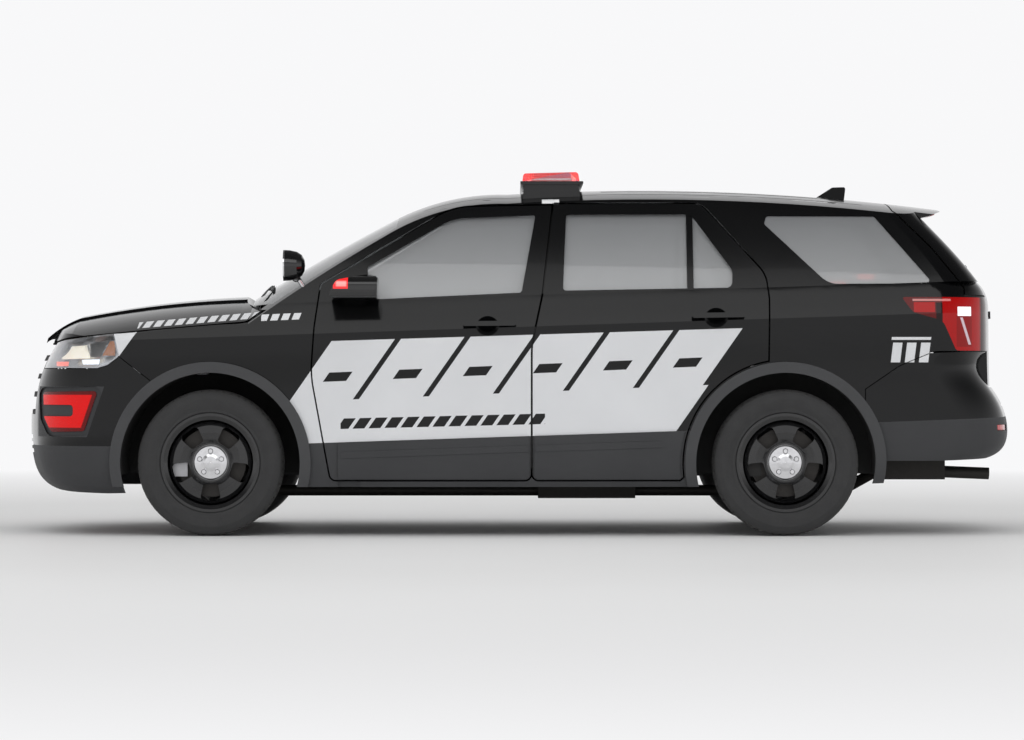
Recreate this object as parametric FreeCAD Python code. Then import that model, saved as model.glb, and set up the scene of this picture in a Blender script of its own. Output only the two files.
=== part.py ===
import FreeCAD, Part
import math
import os
from FreeCAD import Vector

# Police sport-utility vehicle, millimetres.
# +X points forward, +Y to the vehicle's left, +Z up; the origin is on the floor,
# midway along the length, on the centreline.

# ---- overall sizes ----
WHEELBASE = 2860.0
TRACK = 1702.0
FRONT_AXLE_X = 1533.5
REAR_AXLE_X = FRONT_AXLE_X - WHEELBASE
WHEEL_Y = TRACK / 2
RAKE = 1.9                      # body side lines climb to the rear, degrees
OUT = 1300.0                    # beyond either side of the vehicle

# ---- wheels, brakes and steering ----
TYRE_RADIUS = 363.5
TYRE_WIDTH = 245.0
BEAD_RADIUS = 229.0
RIM_WIDTH = 205.0
RIM_OFFSET = 44.0               # mounting face outboard of the rim's middle
CAP_RADIUS = 87.0
LUG_CIRCLE = 57.15
DISC_RADIUS = 172.0
HUB_RADIUS = 34.0
KING_Y = WHEEL_Y - 71.0         # steering axis of a front wheel
HUB_FACE_Y = WHEEL_Y + RIM_OFFSET - 8.6
BALL_RADIUS = 16.0

# ---- body walls and gaps ----
DOOR_DEPTH = 118.0
FRAME_DEPTH = 58.0
SKIN = 22.0
ROOF_DEPTH = 38.0
RAIL = 110.0                    # roof rail's depth from the body side
GLASS = 5.0
DOOR_GLASS_SET = 16.0           # glass face behind the body's face
QUARTER_GLASS_SET = 4.0
GATE_GLASS_SET = 6.0
LAMP_DEPTH = 70.0
HEAD_LAMP_DEPTH = 90.0
LENS = 5.0
DOOR_GAP = 8.0
PANEL_GAP = 4.0
LIGHT_FIT = 0.3                 # seat clearance of glazing, lamps and trim
FLANGE = 30.0                   # outer flange kept full size at a door's rear edge
SET_BACK = 12.0                 # what lies behind the flange stops this much short
SWING_ROOM = 19.0               # depth an opening door's inner corner sweeps inboard
CLADDING = 10.0                 # lower door moulding proud of the door
CLADDING_RIB = 13.0
FLARE_PROUD = 18.0
ARCH_RADIUS = TYRE_RADIUS + 83.5
FLARE_RADIUS = ARCH_RADIUS + 54.0
REAR_DOOR_ARCH = FLARE_RADIUS + 14.0
LINER = 8.0
FRONT_WELL_Y = WHEEL_Y - 346.0
REAR_WELL_Y = WHEEL_Y - 161.0
SILL_Z = 243.0
FLOOR_Z = 292.0
FLOOR_THICK = 24.0
FLOOR_TOP = FLOOR_Z + FLOOR_THICK
FLOOR_STEP_X = REAR_AXLE_X + 426.5
CARGO_Z = 600.0
SEAT_BASE_Z = 440.0
SEAT_Y = 370.0
FIREWALL_X = 1190.0
FENDER_TOP_Z = 1124.0
MEMBER_Y = WHEEL_Y - 401.0      # chassis members and suspension mounts
MEMBER_Z = 430.0
ROOF_FRONT_X = 612.0
ROOF_REAR_X = -1876.0

# ---- plan curve shared by the body's level sections ----
SIDE_BOW = 40000.0              # radius of the side in plan
WIDEST_X = 100.0
TOP_AXIS_Z = -2000.0            # crown axis of hood, screen and roof

# level sections: height, half width, nose x, nose radius, nose corner,
# tail x, tail radius, tail corner (heights before the rake is applied)
LOWER_ROWS = [
    (200, 925, 2360, 2200, 430, -2400, 3500, 300),
    (340, 978, 2450, 2200, 450, -2440, 3500, 300),
    (560, 984, 2498, 2200, 470, -2450, 3500, 300),
    (800, 984, 2480, 2200, 480, -2450, 3500, 300),
    (1037, 992, 2375, 2200, 480, -2455, 3500, 300),
]
SHOULDER_ROWS = [
    (1037, 992, 2375, 2200, 480, -2455, 3500, 300),
    (1115, 968, 2318, 2200, 470, -2449, 3500, 290),
    (1193, 938, 2190, 2200, 450, -2402, 3500, 280),
]
HOOD_ROWS = [
    (1193, 938, 2190, 2200, 450, -2402, 3500, 280),
    (1290, 900, 2100, 2200, 430, -2350, 3500, 270),
]
FRONT_BUMPER_ROWS = [
    (275, 930, 2300, 2200, 420, -2300, 3500, 300),
    (385, 972, 2472, 2200, 450, -2300, 3500, 300),
    (541, 988, 2500, 2200, 470, -2300, 3500, 300),
    (697, 988, 2495, 2200, 480, -2300, 3500, 300),
    (840, 988, 2470, 2200, 480, -2300, 3500, 300),
    (990, 990, 2405, 2200, 480, -2300, 3500, 300),
]
REAR_BUMPER_ROWS = [
    (302, 960, 2300, 2200, 450, -2430, 3500, 290),
    (380, 980, 2300, 2200, 450, -2524, 3500, 290),
    (450, 986, 2300, 2200, 450, -2533, 3500, 300),
    (600, 986, 2300, 2200, 450, -2492, 3500, 300),
    (660, 986, 2300, 2200, 450, -2455, 3500, 300),
    (840, 988, 2300, 2200, 450, -2455, 3500, 300),
]
GLASS_ROWS = [
    (1193, 938, 1701, 2300, 140, -2402, 4500, 200),
    (1320, 885, 1677, 2300, 130, -2305, 4500, 190),
    (1480, 817, 1660, 2300, 120, -2163, 4500, 180),
    (1790, 683, 1640, 2300, 110, -1883, 4500, 160),
]


def circle_meet(c1, r1, c2, r2, side):
    """Meeting point of two circles, the one furthest to the given side in x."""
    dx = c2[0] - c1[0]
    dy = c2[1] - c1[1]
    d = math.hypot(dx, dy)
    a = (r1 * r1 - r2 * r2 + d * d) / (2 * d)
    h = math.sqrt(r1 * r1 - a * a)
    mx = c1[0] + a * dx / d
    my = c1[1] + a * dy / d
    both = [(mx - h * dy / d, my + h * dx / d), (mx + h * dy / d, my - h * dx / d)]
    return max(both, key=lambda p: p[0] * side)


def plan_wire(row, inset=0.0):
    """Closed level outline: bowed sides, rounded corners, curved nose and tail."""
    z, w, fx, fr, fc, rx, rr, rc = row
    w = w - inset
    fx = fx - inset
    rx = rx + inset
    side = (WIDEST_X, w - SIDE_BOW)

    def corner(end, radius, c, sign):
        centre = (end - sign * radius, 0.0)
        p = circle_meet(centre, radius - c, side, SIDE_BOW - c, sign)

        def onto(origin, r):
            d = math.hypot(p[0] - origin[0], p[1] - origin[1])
            return (origin[0] + (p[0] - origin[0]) * r / d, origin[1] + (p[1] - origin[1]) * r / d)

        a = onto(centre, radius)
        b = onto(side, SIDE_BOW)
        m = ((a[0] + b[0]) / 2 - p[0], (a[1] + b[1]) / 2 - p[1])
        k = c / math.hypot(*m)
        return a, (p[0] + m[0] * k, p[1] + m[1] * k), b

    f1, fm, f2 = corner(fx, fr, fc, 1)
    r1, rm, r2 = corner(rx, rr, rc, -1)
    mx = (f2[0] + r2[0]) / 2
    mid = (mx, side[1] + math.sqrt(SIDE_BOW ** 2 - (mx - WIDEST_X) ** 2))

    def arc(*points):
        return Part.Arc(*[Vector(x, y, z) for x, y in points]).toShape()

    def low(p):
        return (p[0], -p[1])

    return Part.Wire([
        arc(low(f1), (fx, 0), f1), arc(f1, fm, f2), arc(f2, mid, r2), arc(r2, rm, r1),
        arc(r1, (rx, 0), low(r1)), arc(low(r1), low(rm), low(r2)),
        arc(low(r2), low(mid), low(f2)), arc(low(f2), low(fm), low(f1))])


def raked(shape):
    shape.rotate(Vector(0, 0, 0), Vector(0, 1, 0), RAKE)
    return shape


def hull(rows, inset=0.0):
    """Smooth body block through the level sections."""
    return raked(Part.makeLoft([plan_wire(r, inset) for r in rows], True, False))


def lin(a, b):
    return Part.LineSegment(Vector(a[0], 0, a[1]), Vector(b[0], 0, b[1])).toShape()


def arc3(a, b, c):
    return Part.Arc(Vector(a[0], 0, a[1]), Vector(b[0], 0, b[1]), Vector(c[0], 0, c[1])).toShape()


def outline(points):
    """Side-view outline (x, z, corner radius) in the plane y = 0, as a wire."""
    n = len(points)
    ends = []
    for i in range(n):
        p = Vector(points[i][0], 0, points[i][1])
        a = Vector(points[i - 1][0], 0, points[i - 1][1])
        b = Vector(points[(i + 1) % n][0], 0, points[(i + 1) % n][1])
        r = points[i][2] if len(points[i]) > 2 else 0
        if r == 0:
            ends.append((p, None, p))
            continue
        u = (a - p).normalize()
        v = (b - p).normalize()
        half = u.getAngle(v) / 2
        t = r / math.tan(half)
        bis = (u + v).normalize()
        centre = p + bis * (r / math.sin(half))
        ends.append((p + u * t, centre - bis * r, p + v * t))
    edges = []
    for i in range(n):
        a, m, b = ends[i]
        if m is not None:
            edges.append(Part.Arc(a, m, b).toShape())
        c = ends[(i + 1) % n][0]
        if b.distanceToPoint(c) > 1e-6:
            edges.append(Part.LineSegment(b, c).toShape())
    return Part.Wire(edges)


def prism(points, y0, y1):
    """Side-view outline carried from y0 to y1."""
    face = Part.Face(outline(points))
    face.translate(Vector(0, y0, 0))
    return face.extrude(Vector(0, y1 - y0, 0))


def grown(points, gap, y0, y1):
    """The same prism with its outline moved outward by gap (inward if negative)."""
    wire = outline(points).makeOffset2D(gap, 0, False, False)
    face = Part.Face(wire)
    face.translate(Vector(0, y0, 0))
    return face.extrude(Vector(0, y1 - y0, 0))


def box(x0, x1, y0, y1, z0, z1):
    return Part.makeBox(x1 - x0, y1 - y0, z1 - z0, Vector(x0, y0, z0))


def rod(x, z, y0, y1, r):
    """Round bar along Y."""
    return Part.makeCylinder(r, y1 - y0, Vector(x, y0, z), Vector(0, 1, 0))


def post(x, y, z0, z1, r):
    return Part.makeCylinder(r, z1 - z0, Vector(x, y, z0))


def bar(a, b, r):
    """Round bar between two points."""
    a = Vector(*a)
    b = Vector(*b)
    return Part.makeCylinder(r, (b - a).Length, a, b - a)


def mirrored(shape):
    return shape.mirror(Vector(0, 0, 0), Vector(0, 1, 0))


def both(shape):
    """A left piece and its mirror image, as one pair."""
    return Part.makeCompound(shape.Solids + mirrored(shape).Solids)


def fused(shapes):
    shape = shapes[0].fuse(shapes[1:]) if len(shapes) > 1 else shapes[0]
    return shape.removeSplitter()


NODES = {}


def node(name, shape):
    """Keeps a piece under its name; crumbs under a cubic centimetre are not kept."""
    solids = [s for s in shape.Solids if s.Volume > 1000.0]
    NODES[name] = solids[0] if len(solids) == 1 else Part.makeCompound(solids)


# ---- side-view outlines (x, z, corner radius) ----
FRONT_DOOR = [(933, 278, 30), (1029, 800, 500), (1012, 1040, 400), (984, 1250, 30),
              (327, 1641, 350), (-165, 1650, 8), (-114, 1206, 400), (-59, 948, 400), (-59, 278, 30)]
REAR_DOOR = [(-69, 278, 30), (-69, 948, 400), (-124, 1206, 400), (-175, 1656, 8),
             (-912, 1658, 90), (-1228, 1300, 150), (-1242, 1180, 60), (-1236, 700), (-800, 278)]
FRONT_WINDOW = [(735, 1175, 14), (757, 1337, 16), (330, 1583, 250), (-84, 1600, 10), (-14, 1209, 16)]
REAR_WINDOW = [(-219, 1219, 16), (-237, 1602, 10), (-862, 1604, 70), (-1066, 1320, 60),
               (-1062, 1234, 30)]
QUARTER_WINDOW = [(-1228, 1556, 16), (-1240, 1595, 14), (-1782, 1594, 16), (-2066, 1256, 16),
                  (-1543, 1253, 120)]
TAIL_LAMP = [(-1905, 1188, 8), (-2600, 1186), (-2600, 919), (-2179, 921, 20), (-2110, 1070, 60),
             (-1960, 1112, 60)]
HEAD_LAMP = [(2016, 1006, 12), (1986, 894, 20), (2045, 850, 20), (2095, 834, 20), (2600, 834),
             (2600, 900), (2275, 976, 12)]
BONNET = [(2700, 900), (2420, 952), (2275, 986, 150), (1887, 1022, 900), (1359, 1067, 60),
          (1286, 1122), (1286, 1500), (2700, 1500)]
GATE_UPPER = [(-1884, 1900), (-1884, 1626), (-2068, 1440, 300), (-2229, 1236),
              (-2229, 1200), (-2700, 1200), (-2700, 1900)]
SPOILER = [(-1890, 1800), (-2151, 1800), (-2151, 1632, 6), (-2064, 1599, 30), (-1890, 1560)]
FRONT_BUMPER = [(2700, 890), (1990, 890), (1892, 814, 60), (1832, 769), (1832, 180), (2700, 180)]
REAR_BUMPER = [(-2700, 915), (-2069, 915, 120), (-1895, 844, 200), (-1725, 728), (-1725, 180),
               (-2700, 180)]
WARNING_LAMP = [(2396, 714, 15), (2096, 719, 15), (2166, 519, 15), (2346, 514, 25), (2386, 584, 20)]
WARNING_SLOT = [(2225, 592, 18), (2225, 650, 18), (2700, 650), (2700, 592)]
FRONT_CLADDING = [(897, 270), (897, 461), (-67, 495), (-67, 270)]
FRONT_RIB = [(884, 385, 8), (884, 417, 8), (-46, 450), (-46, 418)]
REAR_CLADDING = [(-77, 270), (-77, 497), (-870, 524), (-870, 270)]
REAR_RIB = [(-84, 419), (-84, 451), (-700, 472, 8), (-722, 440, 8)]
FRONT_HANDLE = [(277, 1042, 11), (277, 1066, 11), (14, 1068, 11), (14, 1044, 11)]
REAR_HANDLE = [(-859, 1082, 12), (-859, 1107, 12), (-1122, 1111, 12), (-1122, 1086, 12)]
GATE_HALF = 655.0
GATE_BOTTOM = 742.0
GATE_FIT = 6.0


# ---- masters ----
def top_envelope():
    """Everything under the crowned top surface of hood, screen and roof."""
    face = Part.Face(Part.Wire([
        lin((2700, 700), (2515, 860)),
        arc3((2515, 860), (2420, 985), (2244, 1092)),
        arc3((2244, 1092), (1830, 1158), (1400, 1192)),
        lin((1400, 1192), (1345, 1199)),
        arc3((1345, 1199), (1002, 1403), (640, 1600)),
        arc3((640, 1600), (400, 1693), (60, 1733)),
        arc3((60, 1733), (-800, 1752), (-2250, 1640)),
        lin((-2250, 1640), (-2700, 1500)),
        lin((-2700, 1500), (-2700, -500)),
        lin((-2700, -500), (2700, -500)),
        lin((2700, -500), (2700, 700))]))
    axis = Vector(0, 0, TOP_AXIS_Z)
    face.rotate(axis, Vector(1, 0, 0), -32)
    return face.revolve(axis, Vector(1, 0, 0), 64)


def under(depth, lean):
    """The top envelope moved inward by depth along a normal that leans forward."""
    a = math.radians(lean)
    return TOP.translated(Vector(-depth * math.sin(a), 0, -depth * math.cos(a)))


LOWER_HULLS = {}


def lower_hull(inset):
    """Body below the windows and the bonnet's block, made once for each inset."""
    if inset not in LOWER_HULLS:
        block = hull(LOWER_ROWS, inset).fuse(hull(SHOULDER_ROWS, inset))
        hood = hull(HOOD_ROWS, inset).common(box(1290, 2690, -OUT, OUT, 900, 1500))
        LOWER_HULLS[inset] = block.fuse(hood)
    return LOWER_HULLS[inset]


def whole_hull(inset):
    """Lower body and glasshouse together."""
    return lower_hull(inset).fuse(hull(GLASS_ROWS, inset))


def shell(outer, inner, zone):
    """The lower body's skin in a zone, between two depths; a negative depth stands proud."""
    return lower_hull(outer).common(zone).cut(lower_hull(inner))


def band(rows, outer, inner, zone):
    """The same for the rows of a bumper or the glasshouse."""
    return hull(rows, outer).common(zone).cut(hull(rows, inner))


def arch(axle_x, radius, y0, y1):
    return rod(axle_x, TYRE_RADIUS, y0, y1, radius)


TOP = top_envelope()
ROOF_UNDER = under(ROOF_DEPTH, 20)
LOWER = lower_hull(0)
LOWER_SKIN = lower_hull(SKIN)
LOWER_IN = lower_hull(DOOR_DEPTH)
OUTER = LOWER.fuse(hull(GLASS_ROWS)).common(TOP)
WALL = OUTER.cut(LOWER_IN).cut(hull(GLASS_ROWS, FRAME_DEPTH))
CABIN = LOWER_IN.fuse(hull(GLASS_ROWS, FRAME_DEPTH)).common(ROOF_UNDER)
CABIN = CABIN.cut(box(FIREWALL_X + 170, 3000, -OUT, OUT, 0, 2000))
WELLS = fused([arch(FRONT_AXLE_X, ARCH_RADIUS + LINER + LIGHT_FIT, FRONT_WELL_Y - LINER, OUT),
               arch(REAR_AXLE_X, ARCH_RADIUS + LINER + LIGHT_FIT, REAR_WELL_Y - LINER, OUT)])
WELLS = WELLS.fuse(mirrored(WELLS))
DOOR_HOLES = grown(REAR_DOOR, DOOR_GAP, -OUT, OUT)
DOOR_HOLES = DOOR_HOLES.cut(arch(REAR_AXLE_X, REAR_DOOR_ARCH - DOOR_GAP, -OUT, OUT))
DOOR_HOLES = DOOR_HOLES.fuse(grown(FRONT_DOOR, DOOR_GAP, -OUT, OUT))
GATE_ZONE = prism(GATE_UPPER, -OUT, OUT)
GATE_ZONE = GATE_ZONE.fuse(box(-2700, -2080, -GATE_HALF, GATE_HALF, GATE_BOTTOM, 1201))
GATE_HOLE = grown(GATE_UPPER, DOOR_GAP, -OUT, OUT)
GATE_HOLE = GATE_HOLE.fuse(box(-2700, -2080, -GATE_HALF - GATE_FIT, GATE_HALF + GATE_FIT,
                               GATE_BOTTOM - GATE_FIT, 1201))
BONNET_HOLE = grown(BONNET, 6, -OUT, OUT)
FLANGE_HULL = whole_hull(FLANGE)


# ---- doors ----
CUP_RADIUS = 82.0
CUP_DEPTH = 18.0


def handle(points):
    """Pull strap on two feet, and the cup behind it that takes the fingers."""
    (x0, z0, r), (x1, z1, _), (x2, z2, _), (x3, z3, _) = points
    mid_z = (z0 + z2) / 2
    strap = shell(-36, -23, prism(points, 0, OUT))
    feet = [prism([(x, z0 + 2, 6), (x, z1 - 2, 6), (x - 34, z2 - 2, 6), (x - 34, z3 + 2, 6)], 0, OUT)
            for x in (x0 - 6, x2 + 40)]
    feet = shell(-24, 4, feet[0].fuse(feet[1]))
    cup_x = (x0 + x2) / 2 + 10
    skin = shell(0, 4, rod(cup_x, mid_z, 0, OUT, 4)).Solids[0]
    cup = Part.makeSphere(CUP_RADIUS, Vector(cup_x, skin.CenterOfMass.y + CUP_RADIUS - CUP_DEPTH, mid_z))
    return strap.fuse(feet), cup


def door(name, points, window, cladding, rib, pull, wheel_cut):
    """Door as thick as the wall, its window cut, its rear edge stepped to swing clear."""
    body = WALL.common(prism(points, 0, OUT))
    core = FLANGE_HULL.common(body)
    inner = grown(points, -SET_BACK, 0, OUT)
    if wheel_cut:
        body = body.cut(arch(REAR_AXLE_X, wheel_cut, 0, OUT))
        inner = inner.cut(arch(REAR_AXLE_X, wheel_cut + SET_BACK, 0, OUT))
    body = body.cut(core.cut(inner))
    body = body.cut(prism(window, 0, OUT))
    strap, cup = handle(pull)
    panel = shell(-CLADDING, SET_BACK / 2, prism(cladding, 0, OUT))
    panel = panel.fuse(shell(-CLADDING_RIB, 0, prism(rib, 0, OUT)))
    if wheel_cut:
        panel = panel.cut(arch(REAR_AXLE_X, wheel_cut + SET_BACK, 0, OUT))
    panel = panel.common(grown(points, -SET_BACK / 2, 0, OUT))
    body = body.cut(cup).fuse([panel, strap])
    if wheel_cut:
        bar_zone = box(-870, -838, 0, OUT, 1150, 1650).common(prism(window, 0, OUT))
        body = body.fuse(band(GLASS_ROWS, 3, DOOR_GLASS_SET, bar_zone))
    body = max(body.removeSplitter().Solids, key=lambda s: s.Volume)
    node(name + "_left", body)
    node(name + "_right", mirrored(body))
    pane = band(GLASS_ROWS, DOOR_GLASS_SET + LIGHT_FIT, DOOR_GLASS_SET + GLASS,
                grown(window, -LIGHT_FIT, 0, OUT))
    node(name + "_glass_left", pane)
    node(name + "_glass_right", mirrored(pane))


door("front_door", FRONT_DOOR, FRONT_WINDOW, FRONT_CLADDING, FRONT_RIB, FRONT_HANDLE, None)
door("rear_door", REAR_DOOR, REAR_WINDOW, REAR_CLADDING, REAR_RIB, REAR_HANDLE, REAR_DOOR_ARCH)


# ---- roof, windscreen and body sides ----
ROOF = OUTER.common(hull(GLASS_ROWS, RAIL + LIGHT_FIT)).cut(ROOF_UNDER)
ROOF = ROOF.common(box(ROOF_REAR_X, ROOF_FRONT_X, -OUT, OUT, 1400, 2000))
ditches = fused([box(-1740, 480, y - 7, y + 7, 1400, 2000) for y in (540, -540)])
ribs = fused([box(-1640, -420, y - 22, y + 22, 1400, 2000) for y in (-360, -180, 0, 180, 360)])
roof = ROOF.cut(TOP.cut(under(7, 0)).common(ditches)).cut(TOP.cut(under(4, 0)).common(ribs))
node("roof_panel", roof)

screen = TOP.cut(under(GLASS, 30)).common(hull(GLASS_ROWS, FRAME_DEPTH + LIGHT_FIT))
node("windshield", screen.common(box(ROOF_FRONT_X + LIGHT_FIT, 1345, -OUT, OUT, 1100, 2000)))


def centre_post():
    """Post between the doors, behind their inner faces, up to the roof rail."""
    post_hull = lower_hull(DOOR_DEPTH + SWING_ROOM).fuse(hull(GLASS_ROWS, FRAME_DEPTH + 8))
    post_hull = post_hull.cut(lower_hull(DOOR_DEPTH + 70).fuse(hull(GLASS_ROWS, DOOR_DEPTH + 30)))
    ledge = LOWER.cut(lower_hull(DOOR_DEPTH + SWING_ROOM)).translated(Vector(0, 0, DOOR_GAP))
    zone = prism([(-130, SILL_Z), (-130, 948), (-185, 1230), (-235, 1672),
                  (-110, 1672), (-50, 1206), (10, 948), (10, SILL_Z)], 0, OUT)
    made = post_hull.cut(ledge).common(zone).common(ROOF_UNDER.translated(Vector(0, 0, 20)))
    return made.cut(ROOF.common(box(-600, 400, 0, OUT, 1500, 1800)))


def sill_and_seals():
    """Box under the doors, its outer web, and the seal strips that the doors close on."""
    sill = lower_hull(DOOR_DEPTH + SWING_ROOM).cut(lower_hull(DOOR_DEPTH + 90))
    sill = sill.common(box(-930, 1180, 0, OUT, SILL_Z, 360))
    web = lower_hull(DOOR_DEPTH - 10).cut(lower_hull(DOOR_DEPTH + 90))
    web = web.common(box(-930, 1180, 0, OUT, SILL_Z, SILL_Z + 20))
    seal = lower_hull(DOOR_DEPTH + LIGHT_FIT).cut(lower_hull(DOOR_DEPTH + SWING_ROOM + 1))
    seal = seal.common(box(-830, -215, 0, OUT, 325, 345).fuse(box(-30, 870, 0, OUT, 325, 345)))
    return [sill, web, seal]


def body_side():
    """Pillars, roof rail, quarter panel and sill of the left side, as one piece."""
    side = WALL.common(box(-2600, 1600, 0, OUT, SILL_Z, 1900))
    side = side.cut(box(FIREWALL_X, 1600, 0, OUT, 0, FENDER_TOP_Z))
    fender_zone = box(FIREWALL_X - 400, 2700, -OUT, OUT, 0, FENDER_TOP_Z)
    side = side.cut(fender_zone.cut(lower_hull(SKIN + LIGHT_FIT)))
    side = side.cut(prism(BONNET, -OUT, OUT).common(box(1250, 2700, -OUT, OUT, 0, 2000)))
    side = side.cut(box(1330, 1700, 0, OUT, 0, 2000))
    rail = hull(GLASS_ROWS).cut(hull(GLASS_ROWS, RAIL)).common(TOP).cut(ROOF_UNDER)
    rail = rail.common(box(ROOF_REAR_X, ROOF_FRONT_X, 0, OUT, 1500, 1900))
    side = side.fuse(rail).cut(DOOR_HOLES).fuse([centre_post()] + sill_and_seals())
    side = side.cut(WELLS).cut(GATE_HOLE).cut(grown(REAR_BUMPER, PANEL_GAP, 0, OUT))
    side = side.cut(prism(QUARTER_WINDOW, 0, OUT))
    return side.cut(grown(TAIL_LAMP, LIGHT_FIT, 0, OUT).cut(lower_hull(LAMP_DEPTH)))


side = body_side()
node("body_side_left", side)
node("body_side_right", mirrored(side))
pane = band(GLASS_ROWS, QUARTER_GLASS_SET, QUARTER_GLASS_SET + GLASS,
            grown(QUARTER_WINDOW, -LIGHT_FIT, 0, OUT))
node("quarter_glass", both(pane))
lamp = shell(0, LAMP_DEPTH - LIGHT_FIT, prism(TAIL_LAMP, 0, OUT)).common(TOP)
node("tail_lamps", both(lamp.cut(GATE_HOLE)))


# ---- liftgate and rear bumper ----
PLATE_HALF = 270.0
GATE_WINDOW_HALF = 590.0
gate = OUTER.cut(CABIN).common(GATE_ZONE)
gate = gate.fuse(prism(SPOILER, -600, 600).common(TOP).cut(whole_hull(30)))
gate_window = prism([(-2700, 1262, 10), (-2700, 1590), (-1700, 1590), (-1700, 1262)],
                    -GATE_WINDOW_HALF, GATE_WINDOW_HALF)
gate = gate.cut(gate_window.common(hull(GLASS_ROWS, -2)))
gate = gate.cut(shell(-5, 26, box(-2700, -2200, -PLATE_HALF, PLATE_HALF, 900, 1075)))
garnish = shell(-12, 6, box(-2700, -2200, -PLATE_HALF - 60, PLATE_HALF + 60, 1086, 1124))
gate = gate.fuse(garnish)
node("liftgate", max(gate.Solids, key=lambda s: s.Volume))
pane_half = GATE_WINDOW_HALF - LIGHT_FIT
node("liftgate_glass", band(GLASS_ROWS, GATE_GLASS_SET, GATE_GLASS_SET + GLASS,
                            box(-2700, -1700, -pane_half, pane_half, 1262.3, 1589.7)))

bumper = hull(REAR_BUMPER_ROWS).common(prism(REAR_BUMPER, -OUT, OUT)).cut(lower_hull(95))
bumper = bumper.cut(WELLS).cut(GATE_HOLE).common(box(-2700, -1700, -OUT, OUT, 372, 915))
step = band(REAR_BUMPER_ROWS, -5, 7, box(-2700, -2200, -560, 560, 640, 652))
reflectors = band(REAR_BUMPER_ROWS, -5, 6, box(-2700, -2200, 620, 800, 520, 552))
node("rear_bumper", bumper.cut(step).cut(reflectors).cut(mirrored(reflectors)))


# ---- bonnet, fenders, lamps, front bumper and grille ----
def plan_face(points, z):
    return Part.Wire([Part.LineSegment(Vector(*points[i - 1], z), Vector(*points[i], z)).toShape()
                      for i in range(len(points))])


def power_dome():
    """Raised middle of the bonnet, its sides sloping, widening towards the screen."""
    low = plan_face([(1372, 470), (1372, -470), (2420, -330), (2420, 330)], 950)
    high = plan_face([(1390, 260), (1390, -260), (2330, -150), (2330, 150)], 1350)
    return Part.makeLoft([low, high], True, True).common(TOP.translated(Vector(0, 0, 11)))


skin_block = LOWER.common(TOP)
bonnet = skin_block.common(prism(BONNET, -OUT, OUT)).cut(post(-1879, 0, 500, 1600, 3284))
bonnet = bonnet.cut(under(26, 25).common(LOWER_SKIN))
bonnet = bonnet.fuse(power_dome().cut(under(8, 0)).cut(post(-1879, 0, 500, 1600, 3284)))
node("bonnet", max(bonnet.Solids, key=lambda s: s.Volume))

fender = skin_block.common(box(900, 2300, 0, OUT, SILL_Z, FENDER_TOP_Z)).cut(LOWER_SKIN)
fender = fender.cut(grown(FRONT_DOOR, DOOR_GAP, 0, OUT)).cut(BONNET_HOLE)
fender = fender.cut(grown(FRONT_BUMPER, PANEL_GAP, 0, OUT))
fender = fender.cut(grown(HEAD_LAMP, LIGHT_FIT, 0, OUT)).cut(WELLS)
node("front_fenders", both(max(fender.Solids, key=lambda s: s.Volume)))

LAMP_IN_Y = 560.0
lens = skin_block.common(prism(HEAD_LAMP, LAMP_IN_Y, OUT)).cut(lower_hull(LENS))
node("headlamps", both(max(lens.Solids, key=lambda s: s.Volume)))
bowl = shell(LENS + LIGHT_FIT, HEAD_LAMP_DEPTH, prism(HEAD_LAMP, LAMP_IN_Y, OUT)).common(TOP)
bowl = bowl.cut(shell(-5, HEAD_LAMP_DEPTH - 10, grown(HEAD_LAMP, -7, LAMP_IN_Y + 8, OUT)))
barrels = [bar((2050, y, z), (2450, y, z), r) for y, z, r in ((700, 927, 38), (828, 930, 36))]
barrels = shell(24, HEAD_LAMP_DEPTH - 4, fused(barrels))
node("headlamp_bowls", both(bowl.fuse(barrels.common(grown(HEAD_LAMP, -3, LAMP_IN_Y, OUT)))))

GRILLE_HALF = 540.0
GRILLE_LOW_Z = 600.0
GRILLE_TOP_Z = 900.0
GRILLE_OPENINGS = (622, 714, 806)
MESH = 6.0
MESH_X = 2464.5                 # front of the grille mesh at mid height, in the frame's depth
MESH_LEAN = 13.7                # degrees
NOSE_RADIUS = 2200.0
CELL_HALF = 30.5
CELL_HEIGHT = 31.0
CELL_PITCH = 67.0
grille_hole = box(2200, 2700, -GRILLE_HALF, GRILLE_HALF, GRILLE_LOW_Z, GRILLE_TOP_Z)
lamp_slot = prism(WARNING_SLOT, 0, OUT)
lamp_zone = grown(WARNING_LAMP, LIGHT_FIT, 450, OUT).cut(grown(WARNING_SLOT, -LIGHT_FIT, 0, OUT))
bezel = band(FRONT_BUMPER_ROWS, -5, 9, grown(WARNING_LAMP, 24, 430, OUT))
intake = fused([box(2200, 2700, -430, 430, z, z + 24) for z in (400, 436, 472)])
bumper = hull(FRONT_BUMPER_ROWS).common(prism(FRONT_BUMPER, -OUT, OUT)).common(TOP)
bumper = bumper.cut(lower_hull(60))
bumper = bumper.cut(WELLS).cut(both(grown(HEAD_LAMP, PANEL_GAP, LAMP_IN_Y - 4, OUT)))
bumper = bumper.cut(grille_hole).cut(intake).cut(both(bezel)).cut(both(lamp_zone))
node("front_bumper", max(bumper.Solids, key=lambda s: s.Volume))
lamp = band(FRONT_BUMPER_ROWS, 4, 46, prism(WARNING_LAMP, 450, OUT))
node("warning_lamps", both(lamp.cut(lamp_slot)))


def hexagon(y, z, x0, x1):
    """Wide six-sided cell of the mesh as a prism along X."""
    flat = CELL_HALF - CELL_HEIGHT / 3
    points = [(CELL_HALF, 0), (flat, CELL_HEIGHT / 2), (-flat, CELL_HEIGHT / 2),
              (-CELL_HALF, 0), (-flat, -CELL_HEIGHT / 2), (flat, -CELL_HEIGHT / 2)]
    wire = Part.makePolygon([Vector(x0, y + a, z + b) for a, b in points + points[:1]])
    return Part.Face(wire).extrude(Vector(x1 - x0, 0, 0))


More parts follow.
